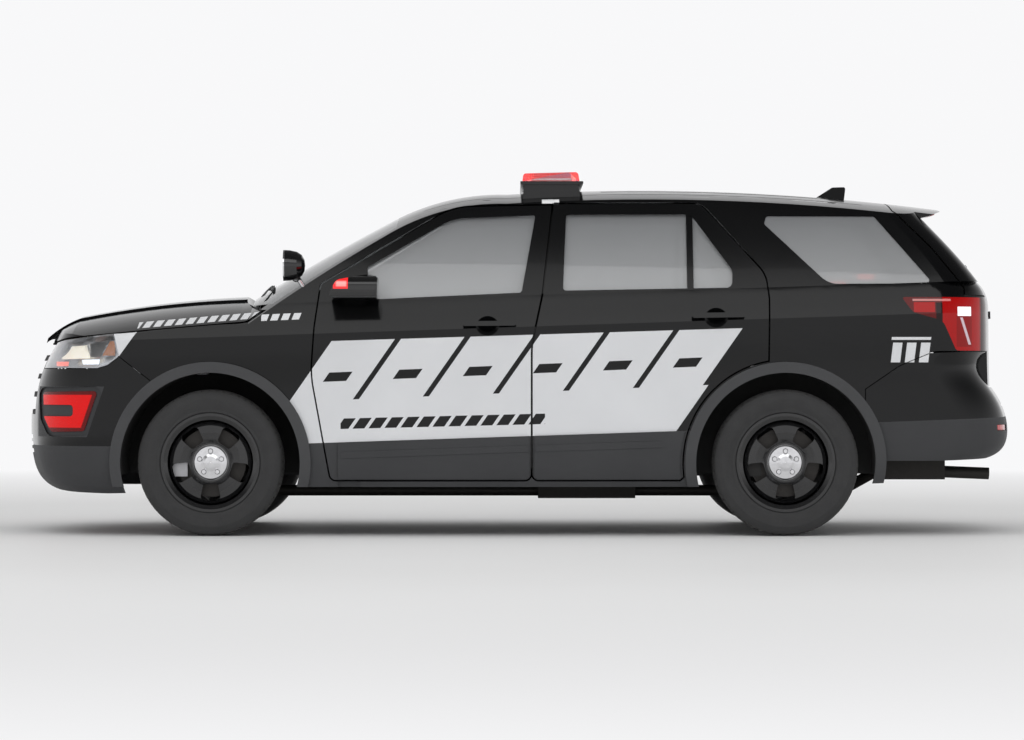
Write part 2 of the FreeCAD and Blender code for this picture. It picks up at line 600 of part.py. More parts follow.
def grille():
    """Frame with two wide bars over a bent sheet pierced by rows of hexagons."""
    edge = GRILLE_HALF - LIGHT_FIT
    zone = box(2200, 2700, -edge, edge, GRILLE_LOW_Z + LIGHT_FIT, GRILLE_TOP_Z - LIGHT_FIT)
    frame = band(FRONT_BUMPER_ROWS, 4, 44, zone).common(TOP)
    openings = [box(2200, 2700, 34 - GRILLE_HALF, GRILLE_HALF - 34, z, z + 66) for z in GRILLE_OPENINGS]
    frame = frame.cut(fused(openings)).cut(BONNET_HOLE)
    sheet = post(-NOSE_RADIUS, 0, -200, 200, NOSE_RADIUS).cut(
        post(-NOSE_RADIUS, 0, -200, 200, NOSE_RADIUS - MESH))
    sheet = sheet.common(box(-120, 10, -edge, edge, -200, 200))
    sheet.rotate(Vector(0, 0, 0), Vector(0, 1, 0), -MESH_LEAN)
    sheet.translate(Vector(MESH_X, 0, (GRILLE_LOW_Z + GRILLE_TOP_Z) / 2))
    edge = edge - 20
    sheet = sheet.common(box(2200, 2700, -edge, edge, GRILLE_LOW_Z + 15, GRILLE_TOP_Z - 15))
    rows = [z + shift for z in GRILLE_OPENINGS for shift in (16, 50)]
    cells = [hexagon(CELL_PITCH * (col + row % 2 / 2), z, 2300, 2520)
             for row, z in enumerate(rows) for col in range(-7, 8 - row % 2)]
    return frame.fuse(sheet.cut(Part.makeCompound(cells)))


node("grille", max(grille().Solids, key=lambda s: s.Volume))


# ---- arch flares and liners ----
flares = []
liners = []
for axle_x, well_y, bumper_rows in ((FRONT_AXLE_X, FRONT_WELL_Y, FRONT_BUMPER_ROWS),
                                    (REAR_AXLE_X, REAR_WELL_Y, REAR_BUMPER_ROWS)):
    ring = arch(axle_x, FLARE_RADIUS, 700, OUT).cut(arch(axle_x, ARCH_RADIUS, 700, OUT))
    ring = ring.common(hull(LOWER_ROWS, -FLARE_PROUD)).cut(hull(LOWER_ROWS, -LIGHT_FIT))
    ring = ring.cut(hull(bumper_rows, -LIGHT_FIT))
    ring = ring.common(box(axle_x - 600, axle_x + 600, 0, OUT, SILL_Z, 1000))
    flares += [s for s in ring.Solids if s.Volume > 1000]
    ring = arch(axle_x, ARCH_RADIUS + LINER, well_y - LINER, 930)
    ring = ring.cut(arch(axle_x, ARCH_RADIUS, well_y, 930)).cut(arch(axle_x, 190, 0, well_y + 1))
    ring = ring.cut(box(axle_x - 190, axle_x + 190, 0, well_y + 1, 0, TYRE_RADIUS + 0.5))
    ring = ring.common(hull(LOWER_ROWS, 26))
    liners.append(ring.common(box(axle_x - 600, axle_x + 600, 0, 930, SILL_Z + 60, 1000)))
node("arch_flares", both(Part.makeCompound(flares)))
node("wheel_liners", both(Part.makeCompound(liners)))


# ---- wheels ----
def turned(points, x, y):
    """Solid of revolution about an axle line; points are (radius, offset along Y)."""
    wire = Part.makePolygon([Vector(x + r, y + o, TYRE_RADIUS) for r, o in points + points[:1]])
    return Part.Face(wire).revolve(Vector(x, y, TYRE_RADIUS), Vector(0, 1, 0), 360)


def tyre(x, y):
    half = TYRE_WIDTH / 2
    edge = TYRE_RADIUS
    return turned([(BEAD_RADIUS, -86), (243, -94), (253, -107), (300, -half),
                   (edge - 25.5, -half + 6), (edge - 6.5, -half + 28), (edge, -60), (edge, 60),
                   (edge - 6.5, half - 28), (edge - 25.5, half - 6), (300, half), (253, 107),
                   (243, 94), (BEAD_RADIUS, 86), (BEAD_RADIUS, 66), (250, 80), (300, 106),
                   (edge - 27.5, 98), (edge - 17.5, 70), (edge - 17.5, -70), (edge - 27.5, -98),
                   (300, -106), (250, -80), (BEAD_RADIUS, -66)], x, y)


WINDOW = [(-36, 106, 16), (36, 106, 16), (54, 190, 22), (-54, 190, 22)]


def rim(x, y, out):
    """Barrel and dished centre pierced by five windows; out is +1 on the left side."""
    half = RIM_WIDTH / 2
    f = RIM_OFFSET
    seat = BEAD_RADIUS - LIGHT_FIT
    points = [(60, f), (60, f + 10), (98, f + 10), (118, f + 25), (150, f + 31), (185, f + 28),
              (203, f + 16), (209, f - 8), (213, half - 14), (232, half), (246, half),
              (246, half - 3), (237, half - 5), (seat, half - 12), (seat, -half + 12),
              (237, -half + 5), (246, -half + 3), (246, -half), (232, -half), (216, -half + 12),
              (203, f - 14), (196, f + 8), (182, f + 18), (150, f + 21), (123, f + 15), (104, f)]
    body = turned([(r, o * out) for r, o in points], x, y)
    window = prism(WINDOW, -120, 120)
    for i in range(5):
        hole = window.copy()
        hole.rotate(Vector(0, 0, 0), Vector(0, 1, 0), 180 + 72 * i)
        hole.translate(Vector(x, y + out * 125, TYRE_RADIUS))
        body = body.cut(hole)
    return body


def wheel_cap(x, y, out):
    """Domed cap with a raised boss over each of the five wheel nuts."""
    face = RIM_OFFSET + 10 + LIGHT_FIT
    points = [(0, face), (CAP_RADIUS, face), (CAP_RADIUS, face + 5), (80, face + 11),
              (44, face + 14), (30, face + 20), (0, face + 22)]
    bosses = [turned([(0, face), (13, face), (13, face + 20), (10, face + 23), (0, face + 23)], x, y)
              for _ in range(5)]
    for i, boss in enumerate(bosses):
        a = math.radians(18 + 72 * i)
        boss.translate(Vector(LUG_CIRCLE * math.cos(a), 0, LUG_CIRCLE * math.sin(a)))
    cap = fused([turned(points, x, y)] + bosses)
    return cap if out > 0 else cap.mirror(Vector(x, y, 0), Vector(0, 1, 0))


def disc(x, y, out):
    points = [(HUB_RADIUS, 0), (HUB_RADIUS, 8), (80, 8), (80, -24), (DISC_RADIUS, -24),
              (DISC_RADIUS, -34), (DISC_RADIUS - 7, -34), (DISC_RADIUS - 7, -44),
              (DISC_RADIUS, -44), (DISC_RADIUS, -54), (72, -54), (72, 0)]
    return turned([(r, o * out) for r, o in points], x, y + out * (RIM_OFFSET - 8.3))


WHEELS = [("front_left", FRONT_AXLE_X, 1), ("front_right", FRONT_AXLE_X, -1),
          ("rear_left", REAR_AXLE_X, 1), ("rear_right", REAR_AXLE_X, -1)]
for corner, x, out in WHEELS:
    y = out * WHEEL_Y
    node("tyre_" + corner, tyre(x, y))
    node("rim_" + corner, Part.makeCompound([rim(x, y, out), wheel_cap(x, y, out)]))
    node("brake_disc_" + corner, disc(x, y, out))


# ---- steering knuckles, arms and axles ----
def carrier(x, y_hub):
    """Hub, upright and brake caliper of one wheel."""
    z = TYRE_RADIUS
    reach = DISC_RADIUS + 21
    hub = rod(x, z, y_hub - 130, y_hub, HUB_RADIUS - LIGHT_FIT)
    flange = rod(x, z, y_hub - 130, y_hub - 62, 62)
    upright = box(x - 40, x + 40, y_hub - 128, y_hub - 86, z - 158.5, z + 156.5)
    caliper = box(x + reach - 75, x + reach, y_hub - 110, y_hub - 4, z - 70, z + 70)
    slot = rod(x, z, y_hub - 64, y_hub - 14, DISC_RADIUS + 4)
    caliper = caliper.cut(slot).cut(arch(x, 100, 0, OUT)).common(rod(x, z, 0, OUT, reach))
    arm = box(x, x + reach - 33, y_hub - 128, y_hub - 90, z - 30, z + 30)
    return fused([hub, flange, upright, arm, caliper])


def suspension(x, mount_z, ball_z):
    """Subframe with its body mounts, and the two-legged lower arm of each wheel."""
    inner_y = MEMBER_Y + 12
    beam = box(x - 220, x + 220, -inner_y, inner_y, 235, 300)
    beam = beam.cut(box(x - 150, x + 150, -inner_y + 110, inner_y - 110, 200, 400))
    pieces = [beam]
    for s in (1, -1):
        for dx in (-150, 150):
            pieces.append(bar((x + dx, s * (inner_y - 60), 262), (x, s * KING_Y, ball_z), 18))
            pieces.append(post(x + dx * 1.2, s * (inner_y - 20), 300, mount_z, 16))
    return pieces


front_carrier = carrier(FRONT_AXLE_X, HUB_FACE_Y)
node("knuckle_left", front_carrier)
node("knuckle_right", mirrored(front_carrier))

front_parts = suspension(FRONT_AXLE_X, MEMBER_Z - LIGHT_FIT, TYRE_RADIUS - 187.5)
for s in (1, -1):
    ball_top = TYRE_RADIUS - 158.5 - LIGHT_FIT
    front_parts.append(post(FRONT_AXLE_X, s * KING_Y, ball_top - 33, ball_top, BALL_RADIUS))
    for dx in (185, -185):
        front_parts.append(post(FRONT_AXLE_X + dx, s * 250, 300, 340 - LIGHT_FIT, 30))
shafts = [rod(FRONT_AXLE_X, TYRE_RADIUS, 330, KING_Y - 75, 20)]
shafts.append(mirrored(shafts[0]))
node("front_suspension", Part.makeCompound([fused(front_parts)] + shafts))

rear_carrier = carrier(REAR_AXLE_X, HUB_FACE_Y)
rear_parts = suspension(REAR_AXLE_X, CARGO_Z - LIGHT_FIT, TYRE_RADIUS - 138.5)
rear_parts += [rear_carrier, mirrored(rear_carrier)]
rear_parts.append(rod(REAR_AXLE_X, TYRE_RADIUS, -KING_Y + 20, KING_Y - 20, 22))
rear_parts.append(box(REAR_AXLE_X - 151, REAR_AXLE_X + 151, -150, 150, 290, 440))
node("rear_suspension", fused(rear_parts))


# ---- floor, firewall and engine bay ----
floor_line = [(FIREWALL_X - LIGHT_FIT, FLOOR_Z), (FIREWALL_X - LIGHT_FIT, FLOOR_TOP),
              (FLOOR_STEP_X, FLOOR_TOP), (FLOOR_STEP_X, CARGO_Z + FLOOR_THICK),
              (-2290, CARGO_Z + FLOOR_THICK), (-2290, CARGO_Z),
              (FLOOR_STEP_X - FLOOR_THICK, CARGO_Z), (FLOOR_STEP_X - FLOOR_THICK, FLOOR_Z)]
floor = prism(floor_line, -OUT, OUT).common(lower_hull(DOOR_DEPTH + 90 + LIGHT_FIT))
wide = box(-2290, -1000, -OUT, OUT, CARGO_Z, CARGO_Z + FLOOR_THICK)
floor = floor.fuse(wide.common(lower_hull(DOOR_DEPTH + LIGHT_FIT))).cut(WELLS)
risers = [box(100, 520, s * SEAT_Y - 190, s * SEAT_Y + 190, FLOOR_TOP, SEAT_BASE_Z) for s in (1, -1)]
risers.append(box(FLOOR_STEP_X + 100, FLOOR_STEP_X + 500, -560, 560, FLOOR_TOP, SEAT_BASE_Z))
node("floor_pan", floor.fuse(risers))

wall = box(FIREWALL_X, FIREWALL_X + 24, -760, 760, FLOOR_Z, 1090)
support = box(2200, 2230, -560, 560, MEMBER_Z, 930).cut(box(2100, 2300, -460, 460, 480, 880))
front = [wall, support, box(FIREWALL_X, 1290, -700, 700, 1040, 1085)]
for s in (1, -1):
    front.append(box(FIREWALL_X, 2230, s * MEMBER_Y - 35, s * MEMBER_Y + 35, MEMBER_Z, MEMBER_Z + 130))
    front.append(post(FRONT_AXLE_X, s * (MEMBER_Y - 10), 540, 960, 55))
    stop = box(2202, 2228, s * 400 - 15, s * 400 + 15, 900, 1200)
    front.append(stop.common(under(26, 25).translated(Vector(0, 0, -0.5))))
node("front_structure", fused(front).cut(WELLS))
node("engine", box(1250, 1800, -330, 330, 340, 930))
node("radiator", box(2140, 2200 - LIGHT_FIT, -412, 412, 470, 890))


# ---- cabin ----
seat_z = SEAT_BASE_Z + LIGHT_FIT
FRONT_SEAT = [(560, seat_z, 30), (590, 560, 45), (560, 620, 30), (150, 590, 60), (20, 1150, 30),
              (-70, 1160, 30), (-30, 600, 60), (30, seat_z, 30)]
seat = prism(FRONT_SEAT, SEAT_Y - 255, SEAT_Y + 255)
head_rest = prism([(40, 1180, 30), (30, 1330, 30), (-50, 1330, 30), (-60, 1180, 30)],
                  SEAT_Y - 120, SEAT_Y + 120)
stalk = prism([(5, 1140), (5, 1190), (-35, 1190), (-35, 1140)], SEAT_Y - 40, SEAT_Y + 40)
node("front_seats", both(seat.fuse([head_rest, stalk])))
REAR_SEAT = [(570, seat_z, 40), (580, 590, 50), (180, 572, 60), (50, 1120, 40),
             (-40, 1130, 30), (15, 640, 30), (20, seat_z, 20)]
node("rear_seat", prism([(FLOOR_STEP_X + x, z, r) for x, z, r in REAR_SEAT], -600, 600))

DASH = [(1165, 640), (1165, 1080, 20), (1010, 1105, 60), (760, 1075, 60), (735, 940, 40),
        (800, 800, 60), (960, 640, 40)]
COLUMN_TOP = Vector(680, SEAT_Y, 985)
COLUMN_FOOT = Vector(900, SEAT_Y, 880)
dash = prism(DASH, -OUT, OUT).common(lower_hull(DOOR_DEPTH + 52))
dash = dash.cut(grown([(1205, 300), (1205, 640), (1000, 640), (1000, 300)], 1, -OUT, OUT))
console = prism([(960, FLOOR_TOP + LIGHT_FIT), (960, 760), (60, 600, 30),
                 (60, FLOOR_TOP + LIGHT_FIT)], -105, 105)
binnacle = prism([(960, 1070), (930, 1132, 30), (800, 1136, 20), (770, 1060)], SEAT_Y - 160, SEAT_Y + 160)
screen = prism([(800, 880), (800, 1050), (738, 1050, 6), (728, 880, 6)], -120, 120)
dash = fused([dash, console, binnacle, screen, bar(COLUMN_FOOT, COLUMN_TOP, 32)])
node("dashboard", dash)

axis = (COLUMN_TOP - COLUMN_FOOT).normalize()
hub_at = COLUMN_TOP + axis * 0.5
steering = [Part.makeCylinder(60, 34, hub_at, axis), Part.makeTorus(186, 15, hub_at + axis * 40, axis)]
for degrees in (0, 90, 180):
    a = math.radians(degrees)
    across = Vector(0, math.cos(a), 0) + axis.cross(Vector(0, 1, 0)) * math.sin(a)
    steering.append(Part.makeCylinder(14, 180, hub_at + axis * 20, across + axis * 0.11))
node("steering_wheel", fused(steering))


# ---- outside fittings ----
def face_on(points, x0, x1):
    """Outline seen from the front (y, z, corner radius) carried from x0 to x1."""
    made = prism([(y, z, r) for y, z, r in points], 0, x1 - x0)
    made.rotate(Vector(0, 0, 0), Vector(0, 0, 1), 90)
    return made.translated(Vector(x1, 0, 0))


MIRROR_FACE = [(958, 1168, 25), (1145, 1180, 45), (1145, 1282, 50), (966, 1300, 35)]
mirror = prism([(943, 1190, 20), (900, 1268, 40), (745, 1300, 30), (697, 1285, 20),
                (700, 1165, 20), (850, 1150, 30)], 955, 1145)
mirror = mirror.common(face_on(MIRROR_FACE, 600, 1000))
pocket = face_on([(974, 1182, 16), (1133, 1192, 32), (1133, 1272, 36), (980, 1288, 22)], 660, 706)
arm = prism([(880, 1175, 10), (860, 1240, 10), (780, 1240, 10), (760, 1175, 10)], 905, 975)
arm = arm.cut(hull(GLASS_ROWS, -LIGHT_FIT)).cut(lower_hull(-LIGHT_FIT))
mirror = mirror.cut(pocket).fuse(arm)
node("mirror_left", mirror)
node("mirror_right", mirrored(mirror))

SPOT_Y = 900.0
SPOT_Z = 1345.0
SPOT_SECTION = [(0, 1064), (28, 1067), (52, 1080), (68, 1104), (76, 1140), (77.5, 1172),
                (70, 1172), (68, 1162), (0, 1156)]
wire = [Vector(x, SPOT_Y, SPOT_Z + r) for r, x in SPOT_SECTION + SPOT_SECTION[:1]]
spot = Part.Face(Part.makePolygon(wire)).revolve(Vector(0, SPOT_Y, SPOT_Z), Vector(1, 0, 0), 360)
spot = spot.fuse([bar((1112, SPOT_Y, 1300), (1050, 870, 1200), 12),
                  Part.makeSphere(22, Vector(1110, SPOT_Y, 1284))])
spot = spot.cut(hull(GLASS_ROWS, -LIGHT_FIT).fuse(lower_hull(-LIGHT_FIT)).common(
    TOP.translated(Vector(0, 0, LIGHT_FIT))))
node("spotlight", max(spot.Solids, key=lambda s: s.Volume))

BAR_HALF = 620.0
BAR_SEAT_Z = 1778.0
tray = prism([(-8, 1762, 5), (-8, BAR_SEAT_Z, 4), (-326, BAR_SEAT_Z, 4), (-326, 1762, 5)],
             -BAR_HALF, BAR_HALF)
feet = []
for s in (1, -1):
    foot = prism([(-30, 1768), (-300, 1768), (-330, 1600), (-6, 1600)], s * 575 - 30, s * 575 + 30)
    feet.append(foot.cut(TOP.translated(Vector(0, 0, LIGHT_FIT))))
dome = prism([(-18, BAR_SEAT_Z + LIGHT_FIT, 3), (-24, 1818, 16), (-300, 1825, 18),
              (-307, BAR_SEAT_Z + LIGHT_FIT, 3)], -BAR_HALF, BAR_HALF)
dome = dome.common(face_on([(BAR_HALF - 6, 1770, 3), (BAR_HALF - 30, 1840, 24),
                            (-BAR_HALF + 30, 1840, 24), (-BAR_HALF + 6, 1770, 3)], -400, 100))
domes = [dome.common(box(-400, 100, y0, y1, 1700, 1900))
         for y0, y1 in ((-BAR_HALF, -110.3), (-110, 110), (110.3, BAR_HALF))]
node("light_bar", Part.makeCompound([tray.fuse(feet)] + domes))

fin = prism([(-1500, 1690), (-1631, 1773, 20), (-1700, 1775, 10), (-1690, 1690)], -18, 18)
node("roof_antenna", fin.cut(TOP.translated(Vector(0, 0, LIGHT_FIT))))

PIPE_Z = 203.0
PIPE_RADIUS = 28.0
exhaust = fused([
    post(1440, 150, PIPE_Z, 340 - LIGHT_FIT, PIPE_RADIUS),
    bar((1454, 150, PIPE_Z), (-1680, 150, PIPE_Z), PIPE_RADIUS),
    box(-600, -100, 50, 250, 165, 255), bar((-1670, 150, PIPE_Z), (-1860, 300, 320), PIPE_RADIUS),
    box(-2150, -1820, 200, 640, 272, 372), post(-2000, 420, 372, CARGO_Z - LIGHT_FIT, 8),
    post(-350, 150, 255, FLOOR_Z - LIGHT_FIT, 8), bar((-2140, 560, 310), (-2380, 560, 300), 30)])
node("exhaust", exhaust.cut(bar((-2200, 560, 307.5), (-2400, 560, 299.2), 26)))
node("fuel_tank", box(FLOOR_STEP_X + 40, FLOOR_STEP_X + 400, -560, -60, 190, FLOOR_Z - LIGHT_FIT))

os.makedirs("parts", exist_ok=True)
for name, shape in NODES.items():
    shape.exportStep("parts/" + name + ".step")
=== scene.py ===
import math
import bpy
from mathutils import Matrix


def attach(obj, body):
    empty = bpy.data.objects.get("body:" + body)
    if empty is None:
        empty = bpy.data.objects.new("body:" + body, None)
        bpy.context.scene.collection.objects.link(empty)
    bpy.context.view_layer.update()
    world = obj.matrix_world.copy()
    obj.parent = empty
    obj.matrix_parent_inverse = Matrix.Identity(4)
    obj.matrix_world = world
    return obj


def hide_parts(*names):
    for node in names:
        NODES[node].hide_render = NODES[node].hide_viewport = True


bl_info = {
    "name": "Police SUV Finish",
    "version": (1, 0, 0),
    "blender": (4, 5, 0),
    "location": "View3D > Sidebar > Police SUV",
    "description": "Tyres, lamps, livery, glazing, cabin trim and studio for the packed police SUV",
    "category": "Object",
}

import bmesh
import bpy
from bpy.props import FloatProperty, FloatVectorProperty, PointerProperty
from mathutils import Matrix, Vector

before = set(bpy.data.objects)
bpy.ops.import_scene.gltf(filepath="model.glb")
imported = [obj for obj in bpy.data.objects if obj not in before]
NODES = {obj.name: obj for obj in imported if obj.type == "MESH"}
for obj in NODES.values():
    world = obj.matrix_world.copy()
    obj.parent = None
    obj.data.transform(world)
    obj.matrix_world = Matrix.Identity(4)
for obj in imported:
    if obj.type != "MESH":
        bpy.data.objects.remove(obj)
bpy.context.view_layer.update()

# Metres in the vehicle's frame: +X forward, +Y to its left, +Z up.
FRONT_AXLE_X = 1.5335
REAR_AXLE_X = -1.3265
AXLE_Z = 0.3635
WHEEL_Y = 0.851
# Corner, axle x, outward side
WHEELS = (
    ("front_left", FRONT_AXLE_X, 1),
    ("front_right", FRONT_AXLE_X, -1),
    ("rear_left", REAR_AXLE_X, 1),
    ("rear_right", REAR_AXLE_X, -1),
)
SIDES = (("left", 1), ("right", -1))
FILM_EDGE = 0.001


# ---- shader writing
class Wave:
    """A shader number: sums and products of it add their Math nodes."""

    def __init__(self, nodes, socket):
        self.nodes = nodes
        self.socket = socket

    def math(self, operation, *terms, clamp=False):
        """Adds one Math node, fed by the terms in their order."""
        settings = {"operation": operation, "use_clamp": clamp}
        node = self.nodes.add("ShaderNodeMath", settings, dict(enumerate(terms)))
        return Wave(self.nodes, node.outputs[0])

    def __rsub__(self, other):
        return self.math("SUBTRACT", other, self)

    def step(self, width=FILM_EDGE):
        """0 below zero and 1 above it, with an edge this wide."""
        return self.math("MULTIPLY_ADD", self, 1.0 / width, 0.5, clamp=True)


def written_as(operation):
    """A method of Wave that adds one kind of Math node."""
    return lambda wave, *others: wave.math(operation, wave, *others)


for sign, operation in (
        ("__add__", "ADD"), ("__sub__", "SUBTRACT"), ("__mul__", "MULTIPLY"),
        ("__truediv__", "DIVIDE"), ("__mod__", "FLOORED_MODULO"), ("__abs__", "ABSOLUTE"),
        ("lowest", "MINIMUM"), ("highest", "MAXIMUM"), ("root", "SQRT"), ("sine", "SINE")):
    setattr(Wave, sign, written_as(operation))


def rgba(colour):
    """Four channels from red, green and blue or from one grey level; a socket stays as it is."""
    if isinstance(colour, bpy.types.NodeSocket):
        return colour
    return (*colour, 1) if isinstance(colour, tuple) else (colour, colour, colour, 1)


def shades(colour, change):
    """A colour and its lighter or darker shade."""
    return tuple(colour), tuple(channel + change for channel in colour)


class Nodes:
    """A node tree, emptied and then filled node by node."""

    def __init__(self, tree):
        self.tree = tree
        tree.nodes.clear()

    def add(self, kind, settings=None, inputs=None):
        """Any node: its settings first, then the values or links of its sockets."""
        node = self.tree.nodes.new(kind)
        for key, value in (settings or {}).items():
            setattr(node, key, value)
        for key, value in (inputs or {}).items():
            self.feed(node.inputs[key], value)
        return node

    def feed(self, socket, value):
        """Links a socket to another one or sets its value."""
        if isinstance(value, Wave):
            value = value.socket
        if isinstance(value, bpy.types.NodeSocket):
            self.tree.links.new(value, socket)
        else:
            socket.default_value = value

    def seen_rays(self):
        """1 where a ray comes from the camera, a gloss or a glass."""
        path = self.add("ShaderNodeLightPath")
        camera, gloss, glass = (Wave(self, path.outputs["Is %s Ray" % kind])
                                for kind in ("Camera", "Glossy", "Transmission"))
        return camera.highest(gloss).highest(glass)


class Finish(Nodes):
    """One node material round a Principled shader."""

    def __init__(self, name):
        self.material = bpy.data.materials.new(name)
        self.material.use_nodes = True
        super().__init__(self.material.node_tree)
        self.out = self.add("ShaderNodeOutputMaterial")
        self.shader = self.add("ShaderNodeBsdfPrincipled")
        self.feed(self.out.inputs["Surface"], self.shader.outputs[0])

    def set(self, **values):
        """Shader sockets by name, with _ for a space."""
        for key, value in values.items():
            self.feed(self.shader.inputs[key.replace("_", " ")], value)
        return self

    def spot(self):
        """The socket of Object coordinates."""
        return self.add("ShaderNodeTexCoord").outputs["Object"]

    def place(self):
        """Object coordinates as three numbers."""
        parts = self.add("ShaderNodeSeparateXYZ", None, {0: self.spot()})
        return [Wave(self, socket) for socket in parts.outputs]

    def noise(self, scale, detail=3.0):
        """Cloudy noise from 0 to 1."""
        node = self.add("ShaderNodeTexNoise", None, {
            "Vector": self.spot(), "Scale": scale, "Detail": detail, "Roughness": 0.55})
        return Wave(self, node.outputs[0])

    def cells(self, scale):
        """Distance to the nearest edge of a field of cells."""
        node = self.add("ShaderNodeTexVoronoi", {"feature": "DISTANCE_TO_EDGE"},
                        {"Vector": self.spot(), "Scale": scale})
        return Wave(self, node.outputs["Distance"])

    def mix(self, mask, low, high):
        """Colour low where the mask is 0 and high where it is 1."""
        node = self.add("ShaderNodeMix", {"data_type": "RGBA"},
                        {0: mask, 6: rgba(low), 7: rgba(high)})
        return node.outputs[2]

    def bump(self, height, distance, strength):
        """Small relief on the shader; hands back the finished material."""
        node = self.add("ShaderNodeBump", None, {
            "Height": height, "Distance": distance, "Strength": strength})
        self.set(Normal=node.outputs[0])
        return self.material


# ---- film and plastic edges
# Lines of the side view, each through two points (x, z).
CLADDING_TOP = ((1.098, 0.458), (-0.874, 0.524))
DASH_MIDDLE = ((1.098, 0.552), (-0.874, 0.6))
BAND_TOP = ((1.098, 0.655), (-0.874, 0.735))
BLOCK_TOP = ((0.917, 0.968), (-1.122, 1.032))
FENDER_FOLD = ((1.359, 1.054), (1.03, 1.068))
BONNET_FOLD = ((1.887, 1.023), (1.359, 1.068))
WEDGE_EDGE = ((1.892, 1.023), (1.986, 0.894))
REAR_MOULDING_TOP = ((-1.811, 0.565), (-2.343, 0.585))
# Ends of the door film along the leaning line, and the pitch of its blocks
FILM_REAR, FILM_FRONT = -0.875, 1.15
BLOCK_PITCH = 0.3375
LAMP_EDGE_LEAN = 0.35
THREAD_PITCH = 0.0026
# Roof bar: top of its foot, half width of its clear middle, where its clear ends start
BAR_FOOT_TOP, BAR_MIDDLE, BAR_END = 1.7781, 0.1102, 0.585


def above(x, z, line):
    """Height over a side-view line, positive above it."""
    (ax, az), (bx, bz) = line
    slope = (bz - az) / (bx - ax)
    return z - (x - ax) * slope - az


def between(value, low, high, width=FILM_EDGE):
    """1 from low to high and 0 outside them."""
    return (value - low).step(width) * (high - value).step(width)


def door_film(x, y, z):
    """White film: a band along the doors, six leaning blocks with slits, and black dashes."""
    lean = x + (z - 0.655) * 0.7
    base = above(x, z, BAND_TOP)
    band = above(x, z, CLADDING_TOP).step() * (0.012 - base).step()
    along = (lean - FILM_REAR) % BLOCK_PITCH
    block = between(along, 0.028, BLOCK_PITCH - 0.002)
    block = block * (0.0 - above(x, z, BLOCK_TOP)).step() * base.step()
    slit = between(along, 0.125, BLOCK_PITCH - 0.1) * between(base, 0.105, 0.15)
    dashes = between((lean + 0.02) % 0.078, 0.0, 0.058) * between(x, -0.13, 0.885)
    dashes = dashes * between(above(x, z, DASH_MIDDLE), -0.026, 0.026)
    film = band.highest(block * (1.0 - slit)) * between(lean, FILM_REAR, FILM_FRONT)
    return film * (1.0 - dashes) * (abs(y) - 0.925).step(0.004)


def dash_row(x, z, line, rear, front):
    """Short leaning dashes just above a line."""
    dashes = between((x + (z - 1.05) * 0.4) % 0.0525, 0.0, 0.036) * between(x, rear, front)
    return dashes * between(above(x, z, line), 0.01, 0.042)


def fender_film(x, y, z):
    """The door film's front end, and the wedge behind the headlamp."""
    wedge = above(x, z, WEDGE_EDGE).step() * (x - 1.87).step() * (z - 0.88).step()
    signs = wedge.highest(dash_row(x, z, FENDER_FOLD, 1.075, 1.28))
    return door_film(x, y, z).highest(signs * (abs(y) - 0.5).step(0.004))


def bonnet_film(x, y, z):
    """A row of short leaning dashes along the bonnet's side."""
    return dash_row(x, z, BONNET_FOLD, 1.28, 1.905) * (abs(y) - 0.6).step(0.004)


def quarter_film(x, y, z):
    """The door film's rear end, and three bars under a thin line."""
    rear, front = -2.043, -1.846
    lean = x + (z - 0.92) * 0.12
    bars = between((lean - rear) % 0.07, 0.0, 0.047) * between(z, 0.862, 0.96)
    sign = bars.highest(between(z, 0.974, 0.988)) * between(lean, rear, front)
    return door_film(x, y, z).highest(sign * (abs(y) - 0.55).step(0.004))


def gate_film(x, y, z):
    """A row of leaning blocks across the tailgate under its glass."""
    lean = y - (z - 1.17) * 0.5
    row = between(lean, -0.388, 0.488) * between(z, 1.142, 1.206)
    return between(lean % 0.13, 0.0, 0.098) * row


def below_cladding(x, y, z):
    """The grey cladding along the foot of the doors."""
    return (0.0 - above(x, z, CLADDING_TOP)).step() * (abs(y) - 0.9).step(0.01)


def front_bumper_plastic(x, y, z):
    """The grey lower moulding and the bezels round the corner lamps."""
    bezel = between(z, 0.49, 0.742) * (x - 2.07 - (0.719 - z) * LAMP_EDGE_LEAN).step()
    bezel = bezel * (2.424 - x).step() * (abs(y) - 0.43).step()
    return (0.445 - z).step().highest(bezel)


def rear_bumper_plastic(x, y, z):
    """The grey lower half of the rear bumper."""
    return (0.0 - above(x, z, REAR_MOULDING_TOP)).step()


def wheel_radius(x, z):
    """Distance from the nearer axle, seen from the side."""
    across = abs(x - FRONT_AXLE_X).lowest(abs(x - REAR_AXLE_X))
    up = z - AXLE_Z
    return (across * across + up * up).root()


